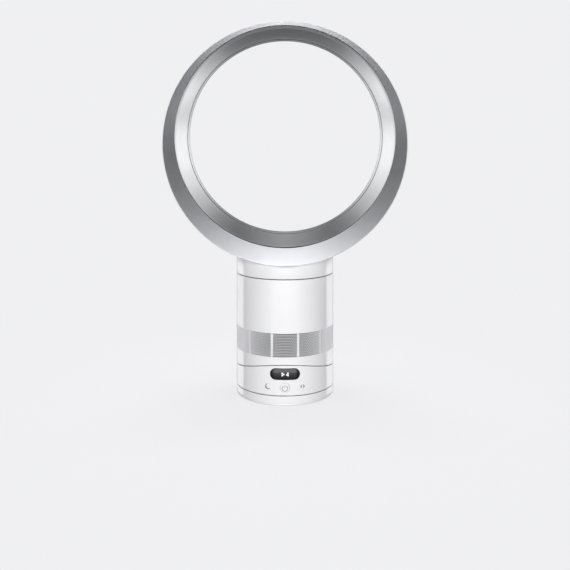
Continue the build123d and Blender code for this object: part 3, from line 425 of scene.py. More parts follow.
def turned(profile, segments=256):
    """Closed outline of (radius, height) turned about Z: x = r sin t, y = -r cos t."""
    t = np.linspace(0, 2 * np.pi, segments, endpoint=False)[:, None]
    r, z = profile[None, :, 0], profile[None, :, 1]
    points = np.stack([r * np.sin(t), -r * np.cos(t), z + 0 * t], -1).reshape(-1, 3)
    return points, grid_faces(segments, len(profile))


# ---------------- round walls with openings


def block_loop(i0, j0, wide, tall):
    """Grid places round blocks of cells, anticlockwise from the lower left, one row a block."""
    di = np.r_[np.arange(wide), np.full(tall, wide), np.arange(wide, 0, -1), np.zeros(tall, int)]
    dj = np.r_[np.zeros(wide, int), np.arange(tall), np.full(wide, tall), np.arange(tall, 0, -1)]
    return np.atleast_1d(i0)[:, None] + di, np.atleast_1d(j0)[:, None] + dj


def strip_between(outer, inner):
    """Faces between two closed loops of point numbers, both (loops, points)."""
    outer2, inner2 = np.roll(outer, -1, 1), np.roll(inner, -1, 1)
    return np.stack([outer, outer2, inner2, inner], -1).reshape(-1, 4)


def holed_wall(angles, outer_r, inner_r, heights, inner_heights, blocks):
    """A tube wall on a grid of angles (n) and rows (m): x = r sin a, y = -r cos a, z = heights[n, m],
    with the inner skin's rows at inner_heights. Each block is a group of cells left out and joined to
    rings of points that lead through the wall: (i0, j0, wide, tall, rings), with rings as (blocks,
    rings, points, 3)."""
    n, m = heights.shape
    across, along = np.sin(angles)[:, None], -np.cos(angles)[:, None]
    points = [np.stack([r[None, :] * across, r[None, :] * along, z], -1).reshape(-1, 3)
              for r, z in ((outer_r, heights), (inner_r, inner_heights))]
    count = 2 * n * m
    open_cell = np.zeros((n, m - 1), bool)
    faces = []
    for i0, j0, wide, tall, rings in blocks:
        i, j = block_loop(i0, j0, wide, tall)
        for a in range(wide):
            for b in range(tall):
                open_cell[(np.atleast_1d(i0) + a) % n, np.atleast_1d(j0) + b] = True
        edge = (i % n) * m + j
        total, ring_count, around, _ = rings.shape
        numbers = count + np.arange(total * ring_count * around).reshape(total, ring_count, around)
        points.append(rings.reshape(-1, 3))
        count += rings.size // 3
        loops = [edge] + [numbers[:, k] for k in range(ring_count)] + [edge + n * m]
        faces += [strip_between(first, second) for first, second in zip(loops, loops[1:])]
    i, j = np.nonzero(~open_cell)
    i2 = (i + 1) % n
    cell = np.stack([i * m + j, i2 * m + j, i2 * m + j + 1, i * m + j + 1], -1)
    faces += [cell, (cell + n * m)[:, ::-1]]
    foot = np.arange(n) * m
    foot2 = np.roll(foot, -1)
    top, top2 = foot + m - 1, foot2 + m - 1
    faces.append(np.stack([top, top2, top2 + n * m, top + n * m], -1))
    faces.append(np.stack([foot + n * m, foot2 + n * m, foot2, foot], -1))
    return np.concatenate(points), np.concatenate(faces)


def wall_r(z):
    """Radius of the straight round wall, at any height."""
    return BODY_R + 0 * z


def window_rings(loop_x, loop_z, half_length, radius, centre_z, side, edge_round, skin_r=wall_r):
    """Rings from a wall's outside to its inside round a stadium cut along Y. A loop point maps to the
    stadium's nearest outline point: clamp x to the middle line, then go out by the radius. side is -1
    at the front and 1 at the rear, and skin_r gives the outside's radius at a height."""
    nearest = np.clip(loop_x, -half_length, half_length)
    out = np.stack([loop_x - nearest, loop_z - centre_z], -1)
    out /= np.linalg.norm(out, axis=-1, keepdims=True)
    turn = np.linspace(0, np.pi / 2, 5)
    grows = np.r_[edge_round + GUARD, edge_round * (1 - np.sin(turn))]
    sinks = np.r_[0, edge_round * (1 - np.cos(turn))]
    rings = []
    for grow, sink in zip(grows, sinks):
        x = nearest + out[:, 0] * (radius + grow)
        z = centre_z + out[:, 1] * (radius + grow)
        rings.append(np.stack([x, side * np.sqrt((skin_r(z) - sink) ** 2 - x ** 2), z], -1))
    rings.append(np.stack([x, side * np.sqrt(WALL_IN_R ** 2 - x ** 2), z], -1))
    return np.array(rings)[None]


def front_window(angles, heights, i0, j0, wide, tall, half_length, radius, centre_z, edge_round):
    """One stadium opening in the front of a wall, as a block for holed_wall."""
    i, j = block_loop(i0, j0, wide, tall)
    i = i % len(angles)
    x = BODY_R * np.sin(angles[i])[0]
    z = heights[i, j][0]
    return i0, j0, wide, tall, window_rings(x, z, half_length, radius, centre_z, -1, edge_round)


def seam_rows():
    """Steps of a wall's rounded edge, from its end inward: how far the radius steps in, and how far
    the step lies from the end. The last one is a guard row on the full radius."""
    turn = np.linspace(0, np.pi / 2, 4)
    sink = np.r_[SEAM_ROUND * (1 - np.sin(turn)), 0]
    rise = np.r_[SEAM_ROUND * (1 - np.cos(turn)), SEAM_ROUND + GUARD]
    return sink, rise


def saddle_z(radius, y):
    """Height of the saddle's curve, z = axis - sqrt(radius^2 - y^2)."""
    return SADDLE_Z - np.sqrt(radius ** 2 - np.asarray(y) ** 2)


def foot_r(z):
    """Radius of the foot's outside: below, a quarter circle r = R - f + sqrt(f^2 - (f - z)^2)."""
    below = np.maximum(FOOT_LOW + FOOT_ROUND - z, 0)
    return BODY_R - FOOT_ROUND + np.sqrt(np.maximum(FOOT_ROUND ** 2 - below ** 2, 0))


def make_foot():
    """The foot's rows run from the flange underneath, up the round edge and the wall, over the rim
    and in along the sunk deck. The inner skin follows inside, and the rear has the socket's hole."""
    angles = np.linspace(0, 2 * np.pi, 256, endpoint=False)
    sink, rise = seam_rows()
    ease = FOOT_LOW + FOOT_ROUND * (1 - np.cos(np.radians([0, 12, 24, 36, 48])))
    rows = np.r_[4.15, 5.5, 6.75, 8.0, 9.25, 10.5, 11.9]
    step_r, deck_z = BODY_R - 1.1, FOOT_TOP - DECK_DROP
    outer_r = np.r_[FLANGE_R, 67.2, foot_r(ease), foot_r(rows), (BODY_R - sink)[::-1], step_r, step_r,
                    DECK_R]
    outer_z = np.r_[FOOT_LOW, FOOT_LOW, ease, rows, (FOOT_TOP - rise)[::-1], FOOT_TOP, deck_z, deck_z]
    inner_r = np.r_[np.linspace(FLANGE_R, WALL_IN_R, 7), np.full(7, WALL_IN_R),
                    np.linspace(WALL_IN_R, DECK_R, 8)]
    inner_z = np.r_[np.full(7, FLANGE_IN_Z), rows, np.full(8, DECK_IN_Z)]
    flat = np.ones((len(angles), 1))
    i0, j0, wide, tall = len(angles) // 2 - 3, 7, 6, 6
    i, j = block_loop(i0, j0, wide, tall)
    x, z = outer_r[j[0]] * np.sin(angles[i[0]]), outer_z[j[0]]
    rings = window_rings(x, z, 0.0, SOCKET_R, SOCKET_Z, 1, 0.4, foot_r)
    points, quads = holed_wall(angles, outer_r, inner_r, flat * outer_z, flat * inner_z,
                               [(i0, j0, wide, tall, rings)])
    add_piece("foot_casing", "foot", "white_shell", points, quads, ["foot_shell"])


def make_control_casing():
    """The turning base's wall, up to the saddle's curve, with the window's and button's openings."""
    angles = np.linspace(0, 2 * np.pi, 360, endpoint=False)
    y = -BODY_R * np.cos(angles)
    top = saddle_z(SADDLE_R + SADDLE_GAP, y)
    inner_top = saddle_z(SADDLE_R + SADDLE_GAP, y * WALL_IN_R / BODY_R)
    front_top = top[0]
    sink, rise = seam_rows()
    button_rows = np.linspace(BUTTON_Z - 8.6, BUTTON_Z + 8.6, 9)
    window_rows = np.linspace(LENS_Z - 9.8, LENS_Z + 9.8, 9)
    knots = np.r_[BASE_LOW + rise, button_rows, window_rows, (front_top - rise)[::-1]]
    share = (knots - BASE_LOW) / (front_top - BASE_LOW)
    heights, inner_heights = (BASE_LOW + share * (end - BASE_LOW)[:, None]
                              for end in (top, inner_top))
    outer_r = BODY_R - np.r_[sink, np.zeros(len(knots) - 2 * len(sink)), sink[::-1]]
    inner_r = np.full(len(knots), WALL_IN_R)
    window = front_window(angles, heights, -20, 14, 40, 8, (LENS_W - LENS_H) / 2,
                          LENS_H / 2 + LENS_GAP, LENS_Z, 0.5)
    button = front_window(angles, heights, -8, 5, 16, 8, 0.0, BUTTON_R + BUTTON_GAP, BUTTON_Z, 0.6)
    points, quads = holed_wall(angles, outer_r, inner_r, heights, inner_heights, [window, button])
    add_piece("control_casing", "control_base", "white_shell", points, quads, ["control_shell"])


PANELS = 12
HOLE_COLUMNS = 13
HOLE_ROWS = 15
HOLE_HALF_W, HOLE_HALF_H = 1.22, 1.06
HOLE_PITCH, ROW_PITCH = 2.8, 2.271
HOLE_POWER = 2.5
GRILLE_MID = 87.45
GRILLE_REACH = HOLE_ROWS * ROW_PITCH / 2 + 0.4
GRILLE_WALL = 1.4


def make_body_casing():
    """The body's wall with its air inlet: panels of staggered holes |x/a|^power + |z/b|^power = 1 in
    a thinner band. Each hole sits in a block of 4 by 2 cells, and every other row is half a hole
    shorter at both ends."""
    cells = 4 * HOLE_COLUMNS
    panel = 2 * np.pi / PANELS
    step = HOLE_PITCH / 4 / BODY_R
    column = (np.arange(cells + 1) - cells / 2) * step
    angles = (panel * np.arange(PANELS)[:, None] + column).ravel()
    y = -BODY_R * np.cos(angles)
    band_low = GRILLE_MID - HOLE_ROWS * ROW_PITCH / 2
    band = band_low + ROW_PITCH / 2 * np.arange(2 * HOLE_ROWS + 1)
    sink, rise = seam_rows()
    foot = saddle_z(SADDLE_R, y)[:, None] + rise
    flat = np.ones((len(angles), 1))
    heights = np.concatenate([foot, flat * band, flat * (BODY_TOP - rise)[::-1]], 1)
    inner_heights = heights.copy()
    inner_heights[:, :len(rise)] = saddle_z(SADDLE_R, y * WALL_IN_R / BODY_R)[:, None] + rise
    outer_r = BODY_R - np.r_[sink, np.zeros(len(band)), sink[::-1]]
    edge = np.full(len(rise), WALL)
    inner_r = BODY_R - np.r_[edge, np.full(len(band), GRILLE_WALL), edge]
    p, r, c = np.meshgrid(np.arange(PANELS), np.arange(HOLE_ROWS), np.arange(HOLE_COLUMNS),
                          indexing="ij")
    kept = (r % 2 == 0) | (c < HOLE_COLUMNS - 1)
    p, r, c = p[kept], r[kept], c[kept]
    i0 = p * (cells + 1) + 4 * c + 2 * (r % 2)
    j0 = len(rise) + 2 * r
    centre_a = (panel * p + (4 * c + 2 * (r % 2) + 2 - cells / 2) * step)[:, None]
    centre_z = (band_low + ROW_PITCH * (r + 0.5))[:, None]
    turn = np.radians(-150 + 30 * np.arange(12))[None, :]
    c, s = np.cos(turn), np.sin(turn)
    a = centre_a + HOLE_HALF_W * np.sign(c) * np.abs(c) ** (2 / HOLE_POWER) / BODY_R
    z = centre_z + HOLE_HALF_H * np.sign(s) * np.abs(s) ** (2 / HOLE_POWER)
    rings = np.stack([np.stack([radius * np.sin(a), -radius * np.cos(a), z], -1)
                      for radius in (BODY_R, BODY_R - GRILLE_WALL)], 1)
    points, quads = holed_wall(angles, outer_r, inner_r, heights, inner_heights,
                               [(i0, j0, 4, 2, rings)])
    low_z, high_z = GRILLE_MID - GRILLE_REACH, GRILLE_MID + GRILLE_REACH
    add_piece("body_casing", "tilting_body", "white_shell", points, quads, ["body_shell"],
              inlet_white(low_z, high_z))
    # A near-black sheet just behind the holes: its black is painted shade, standing in for the shade
    # inside the body.
    back = BODY_R - GRILLE_WALL - 0.15
    points, quads = turned(rounded([(back, low_z), (back, high_z), (back - 0.7, high_z),
                                    (back - 0.7, low_z)], 0.2, 4))
    add_piece("inlet_shade_sheet", "tilting_body", "foam", points, quads, finish=SHADE_SHEET)


# ---------------- window, button and marks


def stadium_plug(half_length, radius, centre_z, front_r, edge_round, edge_drop, depth, around,
                 crown=0.0):
    """A plug whose front follows the round casing. Ring k lies at share t of the way from the middle
    line to the edge; the front sinks by crown t^2, and near the edge by edge_drop
    (1 - sqrt(1 - s^2)), s from 0 to 1 across edge_round. The back is flat."""
    turn = np.linspace(0, 2 * np.pi, around, endpoint=False) + np.pi / around
    nearest = half_length * np.clip(3 * np.cos(turn), -1, 1)
    inward = np.r_[0, np.linspace(0.25, 1 - edge_round / radius, 5),
                   1 - edge_round / radius * (1 - np.sin(np.linspace(0.15, 1, 8) * np.pi / 2))]
    s = np.clip((inward * radius - (radius - edge_round)) / edge_round, 0, 1)
    drop = edge_drop * (1 - np.sqrt(1 - s ** 2)) + crown * inward ** 2
    x = nearest + inward[:, None] * radius * np.cos(turn)
    z = centre_z + inward[:, None] * radius * np.sin(turn)
    front = np.stack([x, -np.sqrt((front_r - drop[:, None]) ** 2 - x ** 2), z], -1)
    back = front[::-1].copy()
    back[..., 1] = -front_r + depth
    grid = np.concatenate([front, back])
    return grid.reshape(-1, 3), open_faces(len(grid), around)


def open_faces(rows, columns):
    """Faces of a tube whose ends stay open, the other way round."""
    return grid_faces(rows, columns, False)[:, [0, 3, 2, 1]]


def weld(piece):
    """Merges the points that meet on a pole or a middle line, and drops faces left without area."""
    reach = 0.0005 * MM
    work = bmesh.new()
    work.from_mesh(piece.data)
    bmesh.ops.remove_doubles(work, verts=work.verts, dist=reach)
    bmesh.ops.dissolve_degenerate(work, edges=work.edges, dist=reach)
    bmesh.ops.recalc_face_normals(work, faces=work.faces)
    work.to_mesh(piece.data)
    work.free()
    piece.data.set_sharp_from_angle(angle=math.radians(40))


def make_window():
    points, quads = stadium_plug((LENS_W - LENS_H) / 2, LENS_H / 2, LENS_Z, BODY_R + 0.4, 1.6, 0.7,
                                 3.7, 96, crown=0.55)
    weld(add_piece("display_window", "control_base", "display_glass", points, quads,
                   ["display_lens"]))


def make_button():
    points, quads = stadium_plug(0.0, BUTTON_R, BUTTON_Z, BODY_R, 0.8, 0.6, 4.5, 72)
    weld(add_piece("power_cap", "power_button", "button_white", points, quads, ["power_button"]))


def on_casing(x, z, proud):
    return np.stack([x, -np.sqrt((BODY_R + proud) ** 2 - x ** 2), z], -1)


def mark(name, body, slot, finish, patches, centre, proud=MARK_PROUD):
    """A printed mark. Each patch is a grid of (x, z) about the mark's centre, laid on the round
    casing, and its edge is closed down into the surface."""
    points, faces, start = [], [], 0
    for patch in patches:
        x, z = patch[..., 0] + centre[0], patch[..., 1] + centre[1]
        rows, columns = x.shape
        grid = np.stack([on_casing(x, z, proud), on_casing(x, z, -MARK_SUNK)])
        index = start + np.arange(2 * x.size).reshape(2, rows, columns)
        top, under = (np.stack([k[:-1, :-1], k[:-1, 1:], k[1:, 1:], k[1:, :-1]], -1).reshape(-1, 4)
                      for k in index)
        rim = [np.r_[k[0, :], k[1:, -1], k[-1, -2::-1], k[-2:0:-1, 0]][None] for k in index]
        faces += [top, under[:, [0, 3, 2, 1]], strip_between(rim[1], rim[0])]
        points.append(grid.reshape(-1, 3))
        start += 2 * x.size
    add_piece(name, body, slot, np.concatenate(points), np.concatenate(faces), (), finish, 30)


def ribbon(line, width):
    """A stroke of the given width on both sides of a line of (x, z) points."""
    line = np.asarray(line, float)
    along = np.gradient(line, axis=0)
    along /= np.linalg.norm(along, axis=1, keepdims=True)
    side = np.stack([-along[:, 1], along[:, 0]], -1) * np.reshape(width, (-1, 1)) / 2
    across = np.linspace(-1, 1, 3)[None, :, None]
    return line[:, None] + across * side[:, None]


def between(first, second, steps=5):
    """Grid of points between two lines of (x, z) points."""
    t = np.linspace(0, 1, steps)[None, :, None]
    return (1 - t) * np.asarray(first)[:, None] + t * np.asarray(second)[:, None]


def arc(radius, start_deg, end_deg, steps, centre=(0, 0)):
    a = np.radians(np.linspace(start_deg, end_deg, steps))
    return np.stack([centre[0] + radius * np.cos(a), centre[1] + radius * np.sin(a)], -1)


def make_marks():
    grey = ("control_base", "white_shell", PRINT)
    moon = between(arc(4.1, 62, 330, 40), arc(3.3, 76, 316, 40, (1.05, 0.7)))
    mark("night_mark", *grey, [moon], (-24.6, 28.0))
    side = np.linspace(1.0, 3.4, 6)
    tall = np.interp(side, [1.0, 3.4], [3.3, 0.15])
    right = between(np.stack([side, -tall], -1), np.stack([side, tall], -1))
    mark("swing_mark", *grey, [right, right * [-1, 1]], (25.2, 28.0))
    ring = ribbon(arc(3.9, 122, 418, 48), 1.05)
    bar = ribbon(np.stack([np.zeros(5), np.linspace(0.2, 4.3, 5)], -1), 1.05)
    mark("power_mark", "power_button", "button_white", PRINT, [ring, bar], (0.0, BUTTON_Z - 0.7))
    out = np.linspace(0.45, 2.75, 12)
    wide = 0.25 + 0.75 * np.sin(np.pi * (out - 0.45) / 2.3) ** 0.7
    petal = ribbon(np.stack([out, 0 * out], -1), 2 * wide)
    blades = []
    for angle in (0, 120, 240):
        c, s = math.cos(math.radians(angle)), math.sin(math.radians(angle))
        blades.append(petal @ np.array([[c, s], [-s, c]]))
    digit = ("control_base", "display_glass", DIGIT)
    mark("air_symbol", *digit, blades, (-3.2, LENS_Z), LIT_PROUD)
    slope = ribbon([(0.7, 2.7), (-0.2, 0.8), (-1.9, -1.1)], 0.75)
    rung = ribbon([(-2.1, -1.1), (-0.9, -1.1), (1.9, -1.1)], 0.75)
    post = ribbon([(0.9, 2.7), (0.9, 0.0), (0.9, -2.8)], 0.85)
    mark("number_4", *digit, [slope, rung, post], (3.6, LENS_Z), LIT_PROUD)


# ---------------- loop

# angles round the loop from the top, as a column
LOOP_ANGLES = np.linspace(0, 2 * np.pi, 360, endpoint=False)[:, None]


def about_lip(radius):
    """Distance from the lip's axis of a circle about the throat's axis, which lies THROAT_LIFT
    higher: lift cos t + sqrt(r^2 - lift^2 sin^2 t) at angle t from the top."""
    along, aside = THROAT_LIFT * np.cos(LOOP_ANGLES), THROAT_LIFT * np.sin(LOOP_ANGLES)
    return along + np.sqrt(np.asarray(radius) ** 2 - aside ** 2)


def loop_mesh(radius, y):
    """Closed outlines of (distance from the lip's axis, y), one for each loop angle, joined round."""
    radius, y = np.broadcast_arrays(radius, y)
    points = np.stack([radius * np.sin(LOOP_ANGLES), y, LOOP_Z + radius * np.cos(LOOP_ANGLES)], -1)
    return points.reshape(-1, 3), grid_faces(*radius.shape)


def loop_piece(name, slot, corners, stands_for=(), steps=6, finish=None):
    """Each corner is (distance from the lip's axis, y, rounding); the first two may vary round the
    loop as columns."""
    ones = np.ones_like(LOOP_ANGLES)
    places = np.stack([np.stack([r * ones, y * ones], -1)[:, 0] for r, y, _ in corners], 1)
    outline = rounded(places, [c[2] for c in corners], steps)
    points, quads = loop_mesh(outline[..., 0], outline[..., 1])
    add_piece(name, "air_loop", slot, points, quads, stands_for, finish)


def flare_radius(y):
    """Inner wall about the throat's axis: it widens by share^1.15 and runs straight to the bevel."""
    share = np.clip((FLARE_REAR_Y - y) / (FLARE_REAR_Y - FLARE_FRONT_Y), 0, 1)
    return COANDA_R + (GUIDE_R - COANDA_R) * share ** 1.15


def make_loop():
    rear_in = REAR_Y - WALL
    throat, rim = about_lip(THROAT_R), about_lip(THROAT_R + THROAT_RIM)
    loop_piece("loop_casing", "white_shell", [
        (LIP_R, LIP_Y + 2.05, 0.3), (LIP_R, REAR_Y, DRUM_ROUND), (throat, REAR_Y, 5.5),
        (throat, LINING_END_Y, 0.25), (rim, LINING_END_Y, 0.3), (rim, rear_in, 0.3),
        (LIP_R - WALL, rear_in, 8.5), (LIP_R - WALL, LIP_Y + 5.8, 0.3)],
        ["loop_outer_shell"], steps=10)
    nozzle = about_lip(NOZZLE_R)
    lining_y = LINING_END_Y - LINING_GAP
    loop_piece("throat_lining", "silver_ring", [
        (throat, lining_y, 0.25), (throat, LINING_END_Y - 5.0, 6.0), (nozzle, NOZZLE_Y, 0.05),
        (nozzle, lining_y, 0.25)])
    # The crease between bevel and inner wall lies a little further out at the top and the bottom.
    widest = np.where(np.cos(LOOP_ANGLES) < 0, 1.25, 0.85)
    crease = about_lip(GUIDE_R + 0.12 + widest * np.abs(np.cos(LOOP_ANGLES)) ** 3)
    crease_y = LIP_Y + (LIP_IN_R - crease) / BEVEL_SLOPE
    # A black rubber ring fills the split just behind the crease: its black is painted shade, standing
    # in for the shade in that split.
    shade_ring_r, front, rear = about_lip(GUIDE_R + 0.1), crease_y + 0.9, crease_y + 1.9
    loop_piece("crease_shade_ring", "rubber", [
        (shade_ring_r, front, 0.05), (shade_ring_r + 2.0, front, 0.05), (shade_ring_r + 2.0, rear, 0.2),
        (shade_ring_r, rear, 0.2)])
    loop_piece("front_bevel", "silver_ring", [
        (crease, crease_y, 0.2), (LIP_IN_R, LIP_Y, 0.35), (LIP_R, LIP_Y, 0.4),
        (LIP_R, LIP_Y + 1.95, 0.2), (crease + 2.4, crease_y + 0.45, 0.15)],
        ["front_ring"], finish=BEVEL)
    make_ribs()
    make_inner_wall(crease_y)


def make_ribs():
    """Small ribs that hold the air slot open between the throat's lining and the inner wall."""
    turns = np.radians(15 + 360 / RIBS * np.arange(RIBS))[:, None]
    radial = np.stack([np.sin(turns), 0 * turns, np.cos(turns)], -1)
    across = np.stack([np.cos(turns), 0 * turns, -np.sin(turns)], -1)
    ring = rounded([(-RIB_HALF, RIB_REAR_Y), (RIB_HALF, RIB_REAR_Y), (RIB_HALF, RIB_FRONT_Y),
                    (-RIB_HALF, RIB_FRONT_Y)], 0.25, 4)
    shape = across * ring[None, :, :1] + [0, 1, 0] * ring[None, :, 1:]
    middle = shape.mean(1, keepdims=True) + 0 * shape
    grid = np.stack([form + radial * radius + [0, 0, THROAT_Z] for form, radius in (
        (middle, RIB_IN_R), (shape, RIB_IN_R), (shape, RIB_OUT_R), (middle, RIB_OUT_R))], 1)
    starts = 4 * len(ring) * np.arange(RIBS)
    quads = (open_faces(4, len(ring)) + starts[:, None, None]).reshape(-1, 4)
    weld(add_piece("slot_ribs", "air_loop", "dark_plastic", grid.reshape(-1, 3), quads,
                   ["slot_spacers"]))


def make_inner_wall(crease_y):
    """The wall follows the flare. Its outline, (distance from the flare, y), is drawn up to
    INNER_WALL_Y, and its front part is then scaled along y to end just behind the crease."""
    front = INNER_WALL_Y
    strip = divided(rounded(
        [(0.0, 29.0), (0.0, front), (2.0, front), (2.0, 26.0), (3.0, 30.0), (0.6, 30.0)],
        [0.5, 0.25, 0.4, 2.0, 0.4, 0.4], 6), 4.0)
    reach = (FLARE_REAR_Y - crease_y - 1.7) / (FLARE_REAR_Y - front)
    off, y = strip.T
    y = np.where(y < FLARE_REAR_Y, FLARE_REAR_Y + (y - FLARE_REAR_Y) * reach, y)
    points, quads = loop_mesh(about_lip(off + flare_radius(y)), y)
    add_piece("inner_wall", "air_loop", "silver_ring", points, quads, ["coanda_ring"], sharp_deg=24)


def drum_underside(x, y):
    """Height of the loop casing's underside above (x, y): the lip's radius, rounded at the rear."""
    rear = np.clip(y - (REAR_Y - DRUM_ROUND), 0, DRUM_ROUND)
    radius = LIP_R - DRUM_ROUND + np.sqrt(DRUM_ROUND ** 2 - rear ** 2)
    return LOOP_Z - np.sqrt(radius ** 2 - x ** 2)


def make_neck():
    """Collar under the loop. Each column runs up the round wall, turns in over a rounded edge just
    under the loop, or at the rear over the sloping shoulder, and comes back down inside."""
    angles = np.linspace(0, 2 * np.pi, 360, endpoint=False)[:, None]
    aside, ahead = np.sin(angles), -np.cos(angles)

    def column(radius, z):
        return np.stack([radius * aside, radius * ahead, z + 0 * radius * aside], -1)

    x, y = BODY_R * aside, BODY_R * ahead
    plane = SHOULDER_Z + (BODY_R - y) * SHOULDER_SLOPE
    under = np.where(y < REAR_Y, drum_underside(x, np.minimum(y, REAR_Y)), 1e3)
    wall_top = np.minimum(plane, under - NECK_GAP)
    # w eases from 0 where the loop lies overhead to 1 where the shoulder is open.
    w = np.clip((y - (REAR_Y - 7.0)) / 9.0, 0, 1)
    w = (w * w * (3 - 2 * w))[..., None]
    seam = np.linspace(0, np.pi / 2, 4)[None, :]
    foot = column(BODY_R - SEAM_ROUND * (1 - np.sin(seam)),
                  NECK_LOW + SEAM_ROUND * (1 - np.cos(seam)))
    turn = np.linspace(0, np.pi / 2, 7)[None, :]
    front = column(BODY_R - NECK_ROUND * (1 - np.cos(turn)),
                   wall_top - NECK_ROUND * (1 - np.sin(turn)))
    # The rear edge is a curve with weights (1 - t)^2, 2t(1 - t) and t^2 through three points.
    reach = np.maximum(y - (REAR_Y - 2.0), 0.0)
    turn_in = np.minimum(5.0, reach * 0.8)
    t = np.linspace(0, 1, 7)[None, :, None]
    bend = ((1 - t) ** 2 * np.stack([x, y, wall_top - 5.0], -1)
            + 2 * t * (1 - t) * np.stack([x, y, wall_top], -1)
            + t ** 2 * np.stack([x, y - turn_in, wall_top + turn_in * SHOULDER_SLOPE], -1))
    corner = (1 - w) * front + w * bend
    down = np.linspace(0.15, 1, 6)[None, :]
    slope_y = (y - turn_in) * (1 - down) + down * (y - reach)
    slope = np.stack([x + 0 * down, slope_y, plane + (y - slope_y) * SHOULDER_SLOPE], -1)
    dive_r = (BODY_R - NECK_ROUND) * (1 - down) + NECK_IN_R * down
    ceiling = drum_underside(dive_r * aside, np.minimum(dive_r * ahead, REAR_Y - DRUM_ROUND))
    dive = column(dive_r, ceiling - NECK_GAP * (1 - down) + 0.8 * down)
    shelf = (1 - w) * dive + w * slope
    stem = np.linspace(0.1, 1, 4)[None, :, None]
    inside = (1 - stem) * shelf[:, -1:] + stem * column(NECK_IN_R, NECK_LOW)
    grid = np.concatenate([foot, corner, shelf, inside], 1)
    add_piece("neck_casing", "air_loop", "white_shell", grid.reshape(-1, 3),
              grid_faces(*grid.shape[:2]), ["loop_neck"])


make_foot()
make_control_casing()
make_body_casing()
make_window()
make_button()
make_marks()
make_loop()
make_neck()

# ---------------- stage
scene.view_settings.view_transform = "Standard"
PALE = (0.871, 0.871, 0.885)

# Level of the studio round the fan as metal, glass and gloss show it, as (place, level) stops. DEPTH
# places run from 0 straight ahead of the fan to 1 straight behind it and share out four regions. In
# front, a soft light stands above a dark floor. In the other three, the level goes by the turn round
# the front-to-back axis, from 0 overhead to 1 underneath. Low strips stand left and right. Behind
# stands a plain ring round a dark upright card.
DEPTH_FRONT = [(0, 1), (0.3, 1), (0.36, 0), (1, 0)]
DEPTH_FORE = [(0, 0), (0.3, 0), (0.36, 1), (0.47, 1), (0.53, 0), (1, 0)]
DEPTH_BACK = [(0, 0), (0.72, 0), (0.86, 1), (1, 1)]
FRONT_COMPASS = [(0, 1), (0.15, 1), (0.19, 0.4), (0.25, 0.12), (0.38, 0.05), (1, 0.05)]
FRONT_HEIGHT = [(0, 0.1), (0.25, 0.15), (0.35, 0.5), (0.42, 1.6), (0.5, 1.9), (0.65, 1.4),
                (0.75, 0.8), (1, 1.5)]
FORE_TURN = [(0, 6.8), (0.083, 5.2), (0.167, 3.2), (0.25, 1.6), (0.333, 0.6), (0.417, 0.12),
             (0.5, 0.03), (0.583, 0.01), (0.667, 0.03), (0.75, 0.25), (0.833, 0.7), (0.917, 3.2),
             (1, 6.8)]
SIDE_TURN = [(0, 1.75), (0.083, 1.55), (0.167, 1.15), (0.25, 0.85), (0.333, 0.6), (0.417, 0.35),
             (0.5, 0.08), (0.583, 0.04), (0.667, 0.06), (0.75, 0.2), (0.833, 0.45), (0.917, 1.1),
             (1, 1.4)]
BACK_TURN = [(0, 0.45), (0.06, 0.32), (0.15, 0.15), (0.22, 0.3), (0.3, 0.75), (0.38, 1.25),
             (0.44, 1.55), (0.52, 1.5), (0.58, 0.9), (0.67, 0.62), (0.76, 0.5), (0.84, 0.2),
             (0.92, 0.12), (1, 0.11)]
STRIP_COMPASS = [(0, 0), (0.62, 0), (0.665, 2.8), (0.72, 2.5), (0.8, 1.85), (0.86, 1.4),
                 (0.9, 0.9), (0.95, 0.2), (1, 0)]
STRIP_HEIGHT = [(0, 0), (0.32, 0), (0.345, 1), (0.41, 1), (0.43, 0), (1, 0)]
RING_LEVEL = 0.75
DEPTH_RING = [(0, 0), (0.966, 0), (0.976, 0.75), (0.986, 0.75), (0.992, 0), (1, 0)]
AXIS_COMPASS = [(0, 1), (0.94, 1), (0.975, 0), (1, 0)]
AXIS_HEIGHT = [(0, 1), (0.37, 1), (0.4, 0.1), (0.6, 0.1), (0.63, 1), (1, 1)]
FILL_HEIGHT = [(0, 0.8), (0.15, 0.8), (0.25, 0.06), (1, 0.06)]
TOP_LEVEL = 8.0     # a ramp's colours end at 1, so they hold the level as a share of this


def graded(tree, source, stops):
    """Level that eases through (place, level) stops along a source from 0 to 1."""
    node = tree.nodes.new("ShaderNodeValToRGB")
    node.color_ramp.interpolation = "EASE"
    elements = node.color_ramp.elements
    elements.remove(elements[1])
    for k, (place, level) in enumerate(stops):
        element = elements[0] if k == 0 else elements.new(place)
        element.position = place
        element.color = (*[level / TOP_LEVEL] * 3, 1)
    tree.links.new(source, node.inputs["Fac"])
    return calc(tree, "MULTIPLY", node.outputs["Color"], TOP_LEVEL)


def mixed(tree, share, first, second):
    """Shader that goes from the first node's to the second node's by share."""
    node = tree.nodes.new("ShaderNodeMixShader")
    for socket, output in zip(node.inputs, (share, first.outputs[0], second.outputs[0])):
        tree.links.new(output, socket)
    return node


